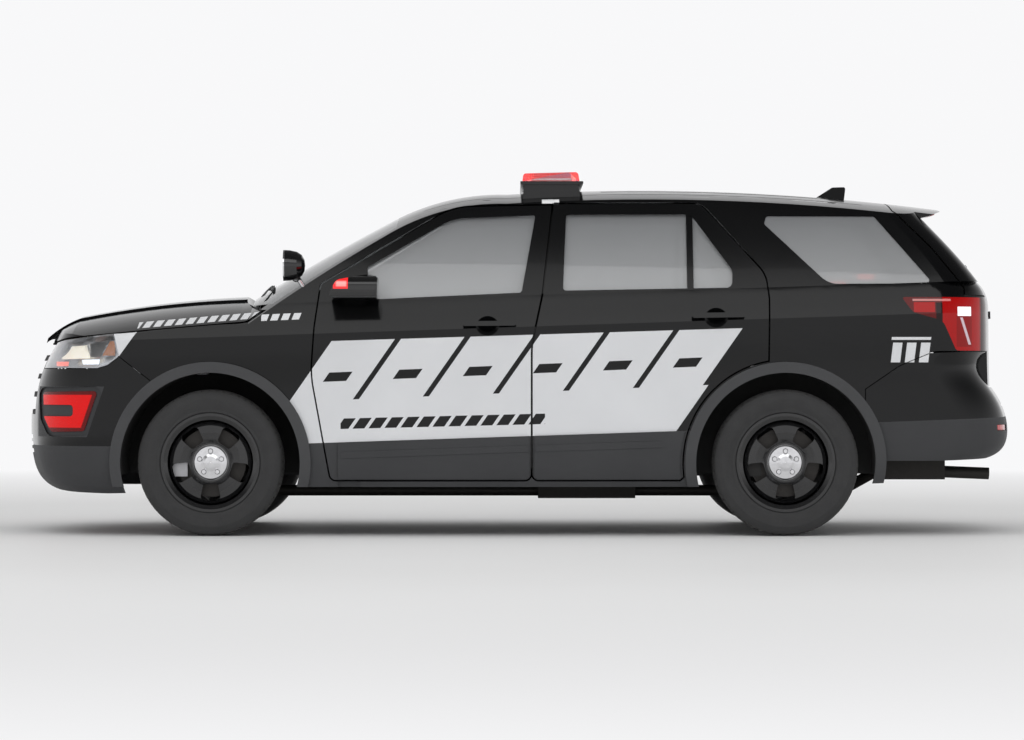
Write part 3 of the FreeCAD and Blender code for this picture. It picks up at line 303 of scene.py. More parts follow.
# ---- finishes
def paint_finish(name, film=None, plastic=None, shine=0.28):
    """Black lacquer; film(x, y, z) marks white film and plastic(x, y, z) bare grey moulding."""
    suv = bpy.context.scene.suv
    f = Finish(name)
    x, y, z = f.place()
    flake = f.noise(900.0, 2.0)
    haze = f.noise(2.2, 4.0)
    dust = f.noise(38.0, 5.0)
    colour = f.mix(flake * haze, (0.0016, 0.0017, 0.002), (0.0042, 0.0044, 0.005))
    rough = haze * 0.05 + 0.1
    coat = 0.14 - dust * 0.04
    height = f.noise(260.0, 2.0) * 0.1
    if film:
        mask = film(x, y, z)
        colour = f.mix(mask, colour, f.mix(haze, *shades(suv.film, -0.1)))
        rough = rough + mask * 0.22
        height = height + mask * 0.35
    if plastic:
        mask = plastic(x, y, z)
        bare = 1.0 - mask
        colour = f.mix(mask, colour, f.mix(haze, *shades(suv.cladding, 0.02)))
        rough = rough * bare + mask * (dust * 0.12 + 0.5)
        coat = coat * bare
        height = height + mask * f.cells(420.0) * 1.6
    f.set(Base_Color=colour, Roughness=rough, Coat_Weight=coat, Coat_Roughness=0.03,
          Specular_IOR_Level=shine)
    return f.bump(height, 0.0003, 0.5)


def moulded_finish(name, low, high, rough, grain=420.0, depth=0.0004, shine=0.5):
    """Grained plastic, rubber or board."""
    f = Finish(name)
    cloud = f.noise(6.0, 5.0)
    f.set(Base_Color=f.mix(cloud, low, high), Roughness=cloud * 0.12 + rough,
          Specular_IOR_Level=shine)
    return f.bump(f.cells(grain), depth, 0.6)


def metal_finish(name, low, high, rough, metallic):
    """Bare, cast or coated metal."""
    f = Finish(name)
    cloud = f.noise(40.0, 5.0)
    f.set(Base_Color=f.mix(cloud, low, high), Metallic=metallic, Roughness=cloud * 0.18 + rough)
    return f.bump(cloud, 0.0002, 0.5)


def glass_finish(name, low, high, clear, shine):
    """Tinted glass, a little darker towards its top."""
    foot, top = 1.25, 1.6
    f = Finish(name)
    z = f.place()[2]
    shade = ((z - foot) / (top - foot)) * 0.8 + f.noise(1.6) * 0.2
    f.set(Base_Color=f.mix(shade, high, low), Roughness=f.noise(14.0) * 0.012 + 0.008,
          Transmission_Weight=clear, IOR=1.45, Specular_IOR_Level=shine)
    return f.bump(f.noise(3.0), 0.0004, 0.12)


def lamp_finish(name, low, high, clear=0.0, glow=0.0, ribs=0.0):
    """Lens plastic, clear or lit, with fine moulded ribs."""
    f = Finish(name)
    cloud = f.noise(24.0)
    colour = f.mix(cloud, low, high)
    f.set(Base_Color=colour, Roughness=cloud * 0.05 + 0.05, Transmission_Weight=clear, IOR=1.45,
          Coat_Weight=0.7, Coat_Roughness=0.03)
    if glow:
        f.set(Emission_Color=colour, Emission_Strength=glow)
    if ribs:
        x, y, z = [abs((at / ribs) % 1.0 - 0.5) for at in f.place()]
        f.bump(x + z + y, 0.002, 0.6)
    return f.material


def cloth_finish(name, low, high):
    """Woven seat cloth: two crossing sets of threads, small nap and broad fading."""
    f = Finish(name)
    x, y, z = f.place()
    turn = math.tau / THREAD_PITCH
    over = (y * turn).sine() * ((x + z) * turn).sine() * 0.5 + 0.5
    nap = f.noise(900.0, 2.0)
    fade = f.noise(7.0, 4.0)
    f.set(Base_Color=f.mix(over * 0.6 + fade * 0.4, low, high), Roughness=nap * 0.12 + 0.82,
          Sheen_Weight=0.25, Sheen_Roughness=0.5)
    return f.bump(over + nap * 0.6, 0.0006, 0.7)


def wheel_finish():
    """Gloss black steel wheel with a chromed cap at its middle."""
    f = Finish("steel_wheel")
    x, y, z = f.place()
    cap = (0.0885 - wheel_radius(x, z)).step(0.0005) * (abs(y) - 0.905).step(0.0005)
    cloud = f.noise(60.0, 4.0)
    black = f.mix(cloud, (0.004, 0.004, 0.0045), (0.01, 0.01, 0.011))
    chrome = f.mix(cloud, (0.8, 0.8, 0.81), (0.62, 0.62, 0.64))
    f.set(Base_Color=f.mix(cap, black, chrome), Metallic=cap,
          Roughness=cloud * 0.1 + 0.2 - cap * 0.12,
          Coat_Weight=(1.0 - cap) * 0.5, Coat_Roughness=0.06)
    return f.bump(f.noise(220.0, 2.0), 0.0002, 0.25)


def tail_finish():
    """Tail lamp: bright outer hook, dark slot, a white reversing block whose glow is a painted
    reflection, and a pale leaning guide.
    """
    f = Finish("tail_lens")
    x, y, z = f.place()
    rib = abs((z / 0.006) % 1.0 - 0.5)
    hook = (-2.108 - x).step(0.002)
    pocket = between(x, -2.07, -1.965, 0.002) * between(z, 1.112, 1.162, 0.002)
    slot = between(x, -2.108, -2.076, 0.002) * (1.16 - z).step(0.002)
    # The reversing block's white glow is a painted reflection.
    block = between(x, -2.257, -2.186, 0.003) * between(z, 1.094, 1.139, 0.003)
    guide = between(x + 2.203 + (1.089 - z) * 0.34, -0.008, 0.006, 0.003)
    guide = guide * between(z, 0.951, 1.086, 0.003)
    stripe = between(x, -2.15, -1.96, 0.004) * between(z, 1.168, 1.178, 0.002)
    inner = between(x, -2.262, -2.18, 0.003) * between(z, 0.94, 1.094, 0.003)
    inboard = (-2.31 - x).step(0.012)
    bright = hook.highest(pocket)
    white = block.highest(guide * 0.75).highest(stripe * 0.7)
    colour = (0.12, 0.001, 0.001)
    for mask, over in (
            (bright, f.mix(rib, (0.26, 0.001, 0.001), (0.42, 0.002, 0.002))),
            (slot, (0.012, 0.001, 0.001)),
            (inner, (0.16, 0.001, 0.001)),
            (inboard, (0.03, 0.001, 0.001)),
            (white, f.mix(stripe, (0.8, 0.84, 0.92), (0.85, 0.35, 0.33)))):
        colour = f.mix(mask, colour, over)
    glow = f.mix(bright * (1.0 - inboard), 0.0, (0.12, 0.0, 0.0))
    f.set(Base_Color=colour, Roughness=rib * 0.05 + 0.07, Specular_IOR_Level=0.25,
          Coat_Weight=0.15, Coat_Roughness=0.02,
          Emission_Color=f.mix(block, glow, 1.0), Emission_Strength=0.9)
    return f.bump(rib * (1.0 - white), 0.0006, 0.4)


def corner_lamp_finish():
    """Warning lamp in the bumper's corner: a bright red strip of small cells in a dark edge."""
    f = Finish("corner_lamp_lens")
    x, y, z = f.place()
    cell = f.cells(70.0)
    lit = between(z, 0.536, 0.7, 0.004) * (x - 2.118 - (0.719 - z) * LAMP_EDGE_LEAN).step(0.006)
    red = f.mix(cell, (0.36, 0.001, 0.001), (0.52, 0.002, 0.002))
    f.set(Base_Color=f.mix(lit, (0.14, 0.001, 0.001), red), Roughness=0.1,
          Specular_IOR_Level=0.2, Coat_Weight=0.12, Coat_Roughness=0.03,
          Emission_Color=f.mix(lit, 0.0, (0.8, 0.001, 0.001)), Emission_Strength=0.5)
    return f.bump(cell, 0.003, 0.5)


def mirror_finish():
    """Mirror housing with a small lit red lamp at its outer front corner."""
    f = Finish("mirror_housing")
    x, y, z = f.place()
    lamp = between(x, 0.842, 0.915) * between(z, 1.224, 1.282) * (abs(y) - 1.02).step(0.002)
    bright = between(x, 0.85, 0.9, 0.008) * between(z, 1.236, 1.262, 0.008)
    cloud = f.noise(8.0, 4.0)
    black = f.mix(cloud, (0.003, 0.003, 0.0033), (0.007, 0.007, 0.0075))
    glow = f.mix(bright, (0.7, 0.01, 0.012), (1.0, 0.45, 0.42))
    f.set(Base_Color=f.mix(lamp, black, (0.55, 0.006, 0.008)), Roughness=cloud * 0.06 + 0.14,
          Coat_Weight=0.5, Coat_Roughness=0.04,
          Emission_Color=f.mix(lamp, 0.0, glow), Emission_Strength=0.9)
    return f.bump(f.noise(240.0, 2.0), 0.0002, 0.3)


def spot_finish():
    """Spotlight: black shell, bright rim and bright arm."""
    f = Finish("spotlight_shell")
    x, y, z = f.place()
    bright = (x - 1.1655).step(0.0008).highest((1.272 - z).step())
    cloud = f.noise(50.0, 4.0)
    chrome = f.mix(cloud, (0.78, 0.78, 0.79), (0.6, 0.6, 0.62))
    f.set(Base_Color=f.mix(bright, (0.004, 0.004, 0.0045), chrome), Metallic=bright,
          Roughness=cloud * 0.06 + 0.1, Coat_Weight=(1.0 - bright) * 0.5, Coat_Roughness=0.03)
    return f.bump(f.noise(200.0, 2.0), 0.0002, 0.2)


def floor_finish():
    """Carpet above, sealed and stone-coated steel below."""
    f = Finish("floor_cover")
    top = (f.place()[2] - 0.272).step(0.002)
    tuft = f.noise(700.0)
    sealed = f.mix(f.noise(5.0, 5.0), 0.018, (0.04, 0.038, 0.036))
    carpet = f.mix(tuft, (0.012, 0.012, 0.013), (0.034, 0.034, 0.036))
    f.set(Base_Color=f.mix(top, sealed, carpet), Roughness=tuft * 0.25 + 0.7)
    return f.bump(tuft * top + f.cells(160.0) * (1.0 - top), 0.002, 0.6)


def tyre_finish():
    """Dusty black rubber with fine rings on the wall."""
    f = Finish("tread_rubber")
    x, y, z = f.place()
    radius = wheel_radius(x, z)
    cloud = f.noise(18.0, 5.0)
    dust = f.noise(160.0)
    wear = (radius - 0.352).step(0.016)
    rubber = f.mix(cloud, (0.026, 0.026, 0.027), (0.04, 0.04, 0.041))
    ring = abs((radius / 0.0016) % 1.0 - 0.5) * between(radius, 0.27, 0.312)
    f.set(Base_Color=f.mix(wear * dust, rubber, (0.06, 0.059, 0.057)),
          Roughness=dust * 0.2 + 0.62)
    return f.bump(ring * 0.8 + dust * 0.5, 0.0006, 0.6)


def corners(stem):
    """Names of the four pieces at the wheels."""
    return ["%s_%s" % (stem, corner) for corner, *_ in WHEELS]


def both(stem):
    """Names of the left and the right piece."""
    return [stem + "_left", stem + "_right"]


# What each maker of finishes turns out: name, low and high colour, then the maker's settings
STOCK = {
    moulded_finish: (
        ("bonnet_pad", 0.008, 0.018, 0.88, 260.0, 0.002),
        ("trim_board", (0.012, 0.012, 0.013), (0.022, 0.022, 0.023), 0.66, 700.0, 0.0005),
        ("cabin_plastic", (0.02, 0.02, 0.021), (0.034, 0.034, 0.036), 0.62, 600.0),
        ("wheel_leather", (0.014, 0.014, 0.015), (0.022, 0.022, 0.023), 0.48, 900.0, 0.0006),
        ("gloss_plastic", (0.004, 0.004, 0.0045), (0.009, 0.009, 0.01), 0.16, 300.0, 0.00005),
        ("seal_rubber", 0.008, 0.016, 0.6, 500.0, 0.0002),
        ("clamp_white", (0.72, 0.73, 0.74), (0.8, 0.81, 0.82), 0.35, 300.0, 0.0001),
        ("seat_vinyl", (0.014, 0.014, 0.015), (0.024, 0.024, 0.026), 0.52, 800.0, 0.0005),
        ("grille_plastic", (0.003, 0.003, 0.0035), (0.007, 0.007, 0.008), 0.55, 420.0, 0.0004,
         0.15),
        ("liner_felt", 0.01, 0.02, 0.85, 300.0, 0.001),
    ),
    metal_finish: (
        ("chassis_black", 0.012, (0.026, 0.025, 0.024), 0.5, 0.2),
        # This iron's dark colour is partly cast iron and partly painted shade inside the wheels.
        ("cast_iron", (0.035, 0.033, 0.032), (0.075, 0.071, 0.067), 0.4, 0.9),
        ("cast_alloy", (0.42, 0.42, 0.43), (0.58, 0.58, 0.6), 0.4, 0.9),
        # The exhaust's dark colour is partly its steel and partly painted shade under the rear
        # bumper.
        ("exhaust_steel", (0.02, 0.019, 0.018), (0.042, 0.039, 0.036), 0.48, 0.6),
        ("bright_metal", (0.8, 0.8, 0.81), (0.68, 0.68, 0.7), 0.06, 1.0),
        ("reflector_foil", (0.62, 0.62, 0.63), (0.5, 0.5, 0.52), 0.14, 1.0),
    ),
    glass_finish: (
        ("smoked_glass", (0.32, 0.33, 0.34), (0.62, 0.63, 0.64), 0.5, 0.5),
        ("windscreen_glass", (0.09, 0.1, 0.1), (0.2, 0.21, 0.215), 0.9, 0.2),
    ),
    lamp_finish: (
        ("clear_lens", (0.9, 0.92, 0.94), (0.95, 0.96, 0.97), 0.97),
        ("red_dome", (0.7, 0.03, 0.03), (0.85, 0.07, 0.06), 0.75, 0.3, 0.009),
        ("blue_dome", (0.03, 0.07, 0.7), (0.06, 0.12, 0.85), 0.75, 0.3, 0.009),
        ("amber_lens", (0.55, 0.14, 0.01), (0.7, 0.22, 0.02), 0.0, 0.12, 0.008),
        ("white_led", (0.8, 0.9, 1.0), (0.95, 0.98, 1.0), 0.0, 1.1, 0.01),
        ("lamp_glow", (0.9, 0.82, 0.66), (1.0, 0.94, 0.82), 0.0, 0.75),
        ("red_led", (0.85, 0.1, 0.08), (1.0, 0.28, 0.22), 0.0, 1.0, 0.01),
        ("blue_led", (0.08, 0.14, 0.85), (0.22, 0.32, 1.0), 0.0, 1.0, 0.01),
        ("red_lens", (0.45, 0.004, 0.006), (0.62, 0.01, 0.012), 0.0, 0.1, 0.012),
        ("display_glass", (0.004, 0.006, 0.01), (0.01, 0.016, 0.026)),
    ),
    cloth_finish: (("seat_cloth", (0.016, 0.016, 0.018), (0.04, 0.04, 0.044)),),
}
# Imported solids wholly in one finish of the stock
DRESSED = {
    "grille_plastic": ("grille",),
    "grey_moulding": ("arch_flares",),
    "liner_felt": ("wheel_liners",),
    "cabin_plastic": ("dashboard", "front_seats", "rear_seat"),
    "wheel_leather": ("steering_wheel",),
    "chassis_black": ("front_structure", "front_suspension", "rear_suspension", "fuel_tank",
                      "radiator"),
    "cast_alloy": both("knuckle"),
    "cast_iron": ("engine", *corners("brake_disc")),
    "exhaust_steel": ("exhaust",),
    "smoked_glass": (*both("rear_door_glass"), *both("front_door_glass"), "quarter_glass",
                     "liftgate_glass"),
    "windscreen_glass": ("windshield",),
    "clear_lens": ("headlamps",),
    "reflector_foil": ("headlamp_bowls",),
}
FINISHES = {}


def dress(material, *names):
    """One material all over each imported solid."""
    for name in names:
        dress_faces(name, None, material)


def dress_faces(name, chooser, *materials):
    """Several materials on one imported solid, chosen by where each face lies and looks."""
    mesh = NODES[name].data
    mesh.materials.clear()
    for material in materials:
        mesh.materials.append(material)
    if chooser:
        for face in mesh.polygons:
            face.material_index = chooser(face)


def bar_part(face):
    """Foot, clear end or middle, red half or blue half of the roof bar."""
    centre = face.center
    if centre.z < BAR_FOOT_TOP:
        return 0
    if abs(centre.y) < BAR_MIDDLE or (abs(centre.y) > BAR_END and -0.2 < centre.x < -0.125):
        return 1
    return 2 if centre.y > 0 else 3


class SUV_OT_finishes(bpy.types.Operator):
    """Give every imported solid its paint, plastic, metal, glass or cloth"""

    bl_idname = "suv.finishes"
    bl_label = "Body Finishes"

    def execute(self, context):
        for maker, rows in STOCK.items():
            for name, *settings in rows:
                FINISHES[name] = maker(name, *settings)
        cladding = shades(context.scene.suv.cladding, 0.02)
        FINISHES["grey_moulding"] = moulded_finish("grey_moulding", *cladding, 0.5)
        for finish, names in DRESSED.items():
            dress(FINISHES[finish], *names)
        card = FINISHES["trim_board"]
        dress_faces("bonnet", lambda face: face.normal.z < -0.05,
                    paint_finish("bonnet_lacquer", bonnet_film), FINISHES["bonnet_pad"])
        dress_faces("liftgate", lambda face: face.normal.x > 0.35 and face.center.x > -2.32,
                    paint_finish("tailgate_lacquer", gate_film), card)
        doors = paint_finish("door_lacquer", door_film, below_cladding)
        flank = paint_finish("side_lacquer", quarter_film, below_cladding)
        for tag, side in SIDES:
            for name in ("front_door_", "rear_door_"):
                dress_faces(name + tag, lambda face: face.normal.y * side < -0.5
                            and face.center.y * side < 0.885, doors, card)
            dress_faces("body_side_" + tag, lambda face: face.normal.y * side < -0.3, flank, card)
        dress(paint_finish("black_lacquer", shine=0.12), "roof_panel", "roof_antenna")
        dress(paint_finish("fender_lacquer", fender_film, below_cladding), "front_fenders")
        dress(paint_finish("front_bumper_lacquer", None, front_bumper_plastic), "front_bumper")
        dress(paint_finish("rear_bumper_lacquer", quarter_film, rear_bumper_plastic), "rear_bumper")
        dress(mirror_finish(), *both("mirror"))
        dress(spot_finish(), "spotlight")
        dress(floor_finish(), "floor_pan")
        dress(wheel_finish(), *corners("rim"))
        dress(tail_finish(), "tail_lamps")
        dress(corner_lamp_finish(), "warning_lamps")
        dress_faces("light_bar", bar_part, FINISHES["gloss_plastic"], FINISHES["clear_lens"],
                    FINISHES["red_dome"], FINISHES["blue_dome"])
        return {"FINISHED"}


# ---- modelling
def start(kind, name, **sizes):
    """A primitive as the only selected and active object."""
    bpy.ops.object.select_all(action="DESELECT")
    getattr(bpy.ops.mesh, "primitive_%s_add" % kind)(**sizes)
    piece = bpy.context.object
    piece.name = piece.data.name = name
    return piece


def settle(piece):
    """Leaves the piece at the origin, unturned and unscaled, with its place in its mesh."""
    bpy.ops.object.select_all(action="DESELECT")
    piece.select_set(True)
    bpy.context.view_layer.objects.active = piece
    bpy.ops.object.transform_apply(location=True, rotation=True, scale=True)
    return piece


def edit():
    """Edit mode with all of the active piece selected."""
    bpy.ops.object.mode_set(mode="EDIT")
    bpy.ops.mesh.select_all(action="SELECT")


def leave_edit():
    """Object mode again."""
    bpy.ops.object.mode_set(mode="OBJECT")


def pick(piece, chosen):
    """In edit mode, selects just the faces that chosen(face) takes."""
    bpy.ops.mesh.select_mode(type="FACE")
    mesh = bmesh.from_edit_mesh(piece.data)
    takes = [chosen(face) for face in mesh.faces]
    for face in mesh.faces:
        face.select_set(False)
    for face, take in zip(mesh.faces, takes):
        if take:
            face.select_set(True)
    mesh.select_flush_mode()
    bmesh.update_edit_mesh(piece.data)


def move_mesh(piece, place, turn=None):
    """Turns the piece's mesh about the origin and then moves it."""
    piece.data.transform(Matrix.Translation(place) @ (turn or Matrix()))
    return piece


def apply(piece, kind, **settings):
    """One modifier, set and applied."""
    modifier = piece.modifiers.new(kind, kind)
    for key, value in settings.items():
        setattr(modifier, key, value)
    bpy.context.view_layer.objects.active = piece
    bpy.ops.object.modifier_apply(modifier=modifier.name)


def row(piece, count, step):
    """The piece so many times over, each a step further on."""
    apply(piece, "ARRAY", count=count, use_relative_offset=False, use_constant_offset=True,
          constant_offset_displace=step)
    return piece


def finish_piece(piece, finish, body="body", angle=35):
    """The last steps of every piece: place, shading, finish and the body it rides on."""
    settle(piece)
    bpy.ops.object.shade_smooth_by_angle(angle=math.radians(angle))
    piece.data.materials.clear()
    piece.data.materials.append(FINISHES[finish])
    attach(piece, body)


def fit_all(shape, rows):
    """Fittings of the body made by one function, from rows of name, finish and its own sizes."""
    for name, finish, *sizes in rows:
        finish_piece(shape(name, *sizes), finish)


def twin(piece, name, place, turn=None):
    """A copy with its own mesh, turned and then moved."""
    copy = piece.copy()
    copy.data = piece.data.copy()
    copy.name = copy.data.name = name
    bpy.context.collection.objects.link(copy)
    return move_mesh(copy, place, turn)


def shape_of(points):
    """Metres from a table in millimetres."""
    return [(a / 1000.0, b / 1000.0) for a, b in points]


def leaned(degrees):
    """A turn about Y, the vehicle's crosswise axis."""
    return Matrix.Rotation(math.radians(degrees), 4, "Y")


# ---- tyres
# One half of the tyre's section: radius and distance from the middle, millimetres.
TYRE_SECTION = (
    (229, 66), (229, 84), (236, 91), (244, 94), (249, 101), (252, 107.5), (257, 109.5),
    (262, 109.5), (266, 111), (284, 117.5), (300, 121.5), (314, 121.9), (316, 122.4), (320, 122.2),
    (322, 121), (333, 118.5), (341, 113), (347, 110.2), (352, 104.5), (357, 96), (360.5, 84),
    (362, 70), (362.4, 61), (355.4, 59.5), (355.4, 52.5), (362.7, 51), (363.2, 25), (356, 23.6),
    (356, 15.4), (363.3, 14),
)
TYRE_INSIDE = ((346, 60), (338, 96), (300, 106), (250, 80))
TYRE_STEPS = 240
SLOT_EVERY = 4
SLOT_DEPTH = 0.0052
TREAD_TURN = 0.37


def slotted(face):
    """Whether a tread face, here or on the shoulder, starts a slot."""
    c = face.calc_center_median()
    turn = int(math.atan2(c.x, c.z) / math.tau * TYRE_STEPS + TYRE_STEPS)
    radius = math.hypot(c.x, c.z)
    side = 0 if c.y > 0 else 1
    if abs(c.y) > 0.06:
        return radius > 0.3495 and (turn + side) % SLOT_EVERY == 0
    rib = 0.026 < abs(c.y) < 0.052 and radius > 0.36
    return rib and (turn + 2 + side) % SLOT_EVERY == 0


class SUV_OT_tyres(bpy.types.Operator):
    """Turn the tyres with grooves round the tread and cut slots across their shoulders"""

    bl_idname = "suv.tyres"
    bl_label = "Tyres"

    def execute(self, context):
        FINISHES["tread_rubber"] = tyre_finish()
        half, inside = shape_of(TYRE_SECTION), shape_of(TYRE_INSIDE)
        section = half + [(r, -o) for r, o in reversed(half)]
        section += [(r, -o) for r, o in reversed(inside)] + inside
        tyre = start("circle", "tyre_%s_tread" % WHEELS[0][0], vertices=len(section), radius=0.3)
        for vertex, (r, o) in zip(tyre.data.vertices, section):
            vertex.co = (0, o, r)
        edit()
        bpy.ops.mesh.spin(steps=TYRE_STEPS, angle=math.tau, center=(0, 0, 0), axis=(0, 1, 0))
        bpy.ops.mesh.select_all(action="SELECT")
        bpy.ops.mesh.remove_doubles(threshold=0.00002)
        bpy.ops.mesh.normals_make_consistent(inside=False)
        pick(tyre, slotted)
        bpy.ops.mesh.inset(thickness=0.0018, depth=0.0)
        bpy.ops.mesh.inset(thickness=0.0002, depth=-SLOT_DEPTH)
        leave_edit()
        for index, (corner, axle_x, out) in enumerate(WHEELS):
            piece = twin(tyre, "tyre_%s_tread" % corner, (axle_x, out * WHEEL_Y, AXLE_Z),
                         Matrix.Rotation(TREAD_TURN * index, 4, "Y"))
            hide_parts("tyre_" + corner)
            finish_piece(piece, "tread_rubber", "wheel_" + corner, 30)
        bpy.data.objects.remove(tyre)
        return {"FINISHED"}


# ---- small fittings
def loaf(name, low, high, bevel, dish=0.0):
    """A rounded block between two corners; dish sinks a panel into its broadest pair of faces."""
    size = [b - a for a, b in zip(low, high)]
    middle = [(a + b) / 2 for a, b in zip(low, high)]
    piece = settle(start("cube", name, size=1.0, location=middle, scale=size))
    edit()
    bpy.ops.mesh.bevel(offset=bevel, segments=3, affect="EDGES")
    if dish:
        thin = size.index(min(size))
        pick(piece, lambda face: abs(face.normal[thin]) > 0.99)
        bpy.ops.mesh.inset(thickness=bevel, depth=0.0)
        bpy.ops.mesh.inset(thickness=bevel * 0.4, depth=-dish)
    leave_edit()
    return piece


def beside(side, x, y, z):
    """Low and high corners of a block whose y range is given for the left side."""
    return tuple(zip(x, sorted(side * value for value in y), z))


def slab(name, middle, half, lean, bevel, dish=0.0):
    """A rounded block with its thin way along X, leaned about Y; metres and degrees."""
    return move_mesh(loaf(name, [-h for h in half], half, bevel, dish), middle, leaned(lean))


def rod(name, a, b, radius, bevel=0.0):
    """A round bar between two points."""
    a, b = Vector(a), Vector(b)
    piece = start("cylinder", name, vertices=24, radius=radius, depth=(b - a).length)
    if bevel:
        apply(piece, "BEVEL", width=bevel, segments=2, limit_method="ANGLE")
    return move_mesh(piece, (a + b) / 2, (b - a).to_track_quat("Z", "Y").to_matrix().to_4x4())


def dome(name, radius, cut, rings, middle):
    """The front of a ball, cut flat ahead of its middle."""
    piece = settle(start("uv_sphere", name, segments=rings * 2, ring_count=rings, radius=radius,
                         rotation=(0, math.radians(90), 0)))
    edit()
    bpy.ops.mesh.bisect(plane_co=(cut, 0, 0), plane_no=(1, 0, 0), clear_inner=True, use_fill=True)
    leave_edit()
    return move_mesh(piece, middle)


def patch(name, corners4, node, side, depth, thick, cells=(12, 6), axis="y"):
    """A four-cornered patch seen along an axis, laid under a packed surface and made a plate."""
    if node not in NODES:
        node += "_left" if side > 0 else "_right"
    piece = start("grid", name, x_subdivisions=cells[0], y_subdivisions=cells[1], size=1.0)
    sight = "xyz".index(axis)
    across, up = [number for number in range(3) if number != sight]
    (ax, az), (bx, bz), (cx, cz), (dx, dz) = shape_of(corners4)
    for vertex in piece.data.vertices:
        u, v = vertex.co.x + 0.5, vertex.co.y + 0.5
        vertex.co[across] = (ax * (1 - u) + bx * u) * (1 - v) + (dx * (1 - u) + cx * u) * v
        vertex.co[up] = (az * (1 - u) + bz * u) * (1 - v) + (dz * (1 - u) + cz * u) * v
        vertex.co[sight] = side * (1.5 if axis == "y" else 3.0)
    apply(piece, "SHRINKWRAP", target=NODES[node], wrap_method="PROJECT",
          use_project_x=axis == "x", use_project_y=axis == "y", use_project_z=axis == "z",
          use_negative_direction=side > 0, use_positive_direction=side < 0)
    edit()
    if piece.data.polygons[0].normal[sight] * side < 0:
        bpy.ops.mesh.flip_normals()
    bpy.ops.transform.shrink_fatten(value=-depth)
    leave_edit()
    apply(piece, "SOLIDIFY", thickness=thick, offset=-1.0)
    apply(piece, "BEVEL", width=min(thick * 0.3, 0.0015), segments=2, limit_method="ANGLE")
    return piece


def strip(a, b, wide_a, wide_b):
    """Corners of a strip between two points, with its width at each."""
    along = Vector((b[0] - a[0], b[1] - a[1])).normalized()
    side = Vector((-along.y, along.x)) * 0.5
    return tuple((p[0] + side.x * w, p[1] + side.y * w) for p, w in
                 ((a, -wide_a), (b, -wide_b), (b, wide_b), (a, wide_a)))


def barrel_front(y, z):
    """Foremost point of the headlamp bowls' barrels on a line along the vehicle."""
    bowls = NODES["headlamp_bowls"]
    hit, place, *_ = bowls.ray_cast(Vector((3.0, y, z)), Vector((-1, 0, 0)))
    if not hit:
        raise ValueError("no barrel at %.3f, %.3f" % (y, z))
    return place.x


# Lit and coloured pieces behind the lenses: name, finish, node, depth and thickness in
# millimetres, and four corners (x, z) of the left one seen from its side.
LAMP_PIECES = (
    ("headlamp_main", "lamp_glow", "headlamps", 26, 8,
     ((2155, 888), (2318, 888), (2290, 952), (2168, 957))),
    ("headlamp_marker", "amber_lens", "headlamps", 14, 8,
     ((2012, 897), (2078, 897), (2040, 970), (2012, 972))),
    ("headlamp_strip", "white_led", "headlamps", 9, 6,
     ((2095, 853), (2178, 853), (2184, 876), (2090, 878))),
    ("headlamp_flasher", "red_led", "headlamps", 9, 6,
     ((2262, 846), (2326, 846), (2330, 868), (2260, 868))),
    ("headlamp_blade", "gloss_plastic", "headlamps", 20, 5,
     ((2092, 893), (2142, 893), (2150, 962), (2060, 966))),
    ("quarter_flasher", "red_led", "quarter_glass", 22, 8,
     ((-1775, 1284), (-1690, 1284), (-1690, 1312), (-1775, 1312))),
    ("bar_clamp", "clamp_white", "body_side", -2.5, 3,
     ((-203, 1659), (-116, 1659), (-116, 1680), (-203, 1680))),
)
# Projector lenses: y, z, radius
PROJECTORS = ((0.7, 0.927, 0.031), (0.828, 0.93, 0.029))


class SUV_OT_lamps(bpy.types.Operator):
    """Fit main lamps, markers, lit strips, flashers, blades and projector lenses behind the lenses
    """

    bl_idname = "suv.lamps"
    bl_label = "Lamp Insides"

    def execute(self, context):
        for name, finish, node, depth, thick, shape in LAMP_PIECES:
            for tag, side in SIDES:
                piece = patch("%s_%s" % (name, tag), shape, node, side, depth / 1000, thick / 1000)
                finish_piece(piece, finish)
        for tag, side in SIDES:
            for number, (y, z, r) in enumerate(PROJECTORS, 1):
                front = barrel_front(y * side, z) - r * 0.9
                piece = dome("headlamp_projector_%s_%d" % (tag, number), r, r * 0.3, 16,
                             (front, y * side, z))
                finish_piece(piece, "clear_lens")
        return {"FINISHED"}


# Zone of the roof bar, finish, first module's middle, number of modules and their pitch
BAR_ZONES = (("left", "red_led", 0.175, 4, 0.116), ("middle", "white_led", -0.052, 2, 0.104),
             ("right", "blue_led", -0.523, 4, 0.116))
BAR_ROWS = (("front", -0.052), ("rear", -0.282))
MODULE_HALF = 0.046
DECK_PITCH = 0.116


class SUV_OT_light_bar(bpy.types.Operator):
    """Rows of lamp modules inside the roof bar's domes"""

    bl_idname = "suv.light_bar"
    bl_label = "Light Bar Modules"

    def execute(self, context):
        for zone, finish, first, count, pitch in BAR_ZONES:
            low, high = first - MODULE_HALF, first + MODULE_HALF
            for name, x in BAR_ROWS:
                piece = loaf("bar_modules_%s_%s" % (name, zone), (x - 0.008, low, 1.783),
                             (x + 0.008, high, 1.806), 0.003, 0.003)
                finish_piece(row(piece, count, (0, pitch, 0)), finish)
            deck = loaf("bar_deck_" + zone, (-0.268, low, 1.78),
                        (-0.066, first + (count - 1) * DECK_PITCH + MODULE_HALF, 1.79),
                        0.002, 0.0015)
            finish_piece(deck, "reflector_foil")
        return {"FINISHED"}


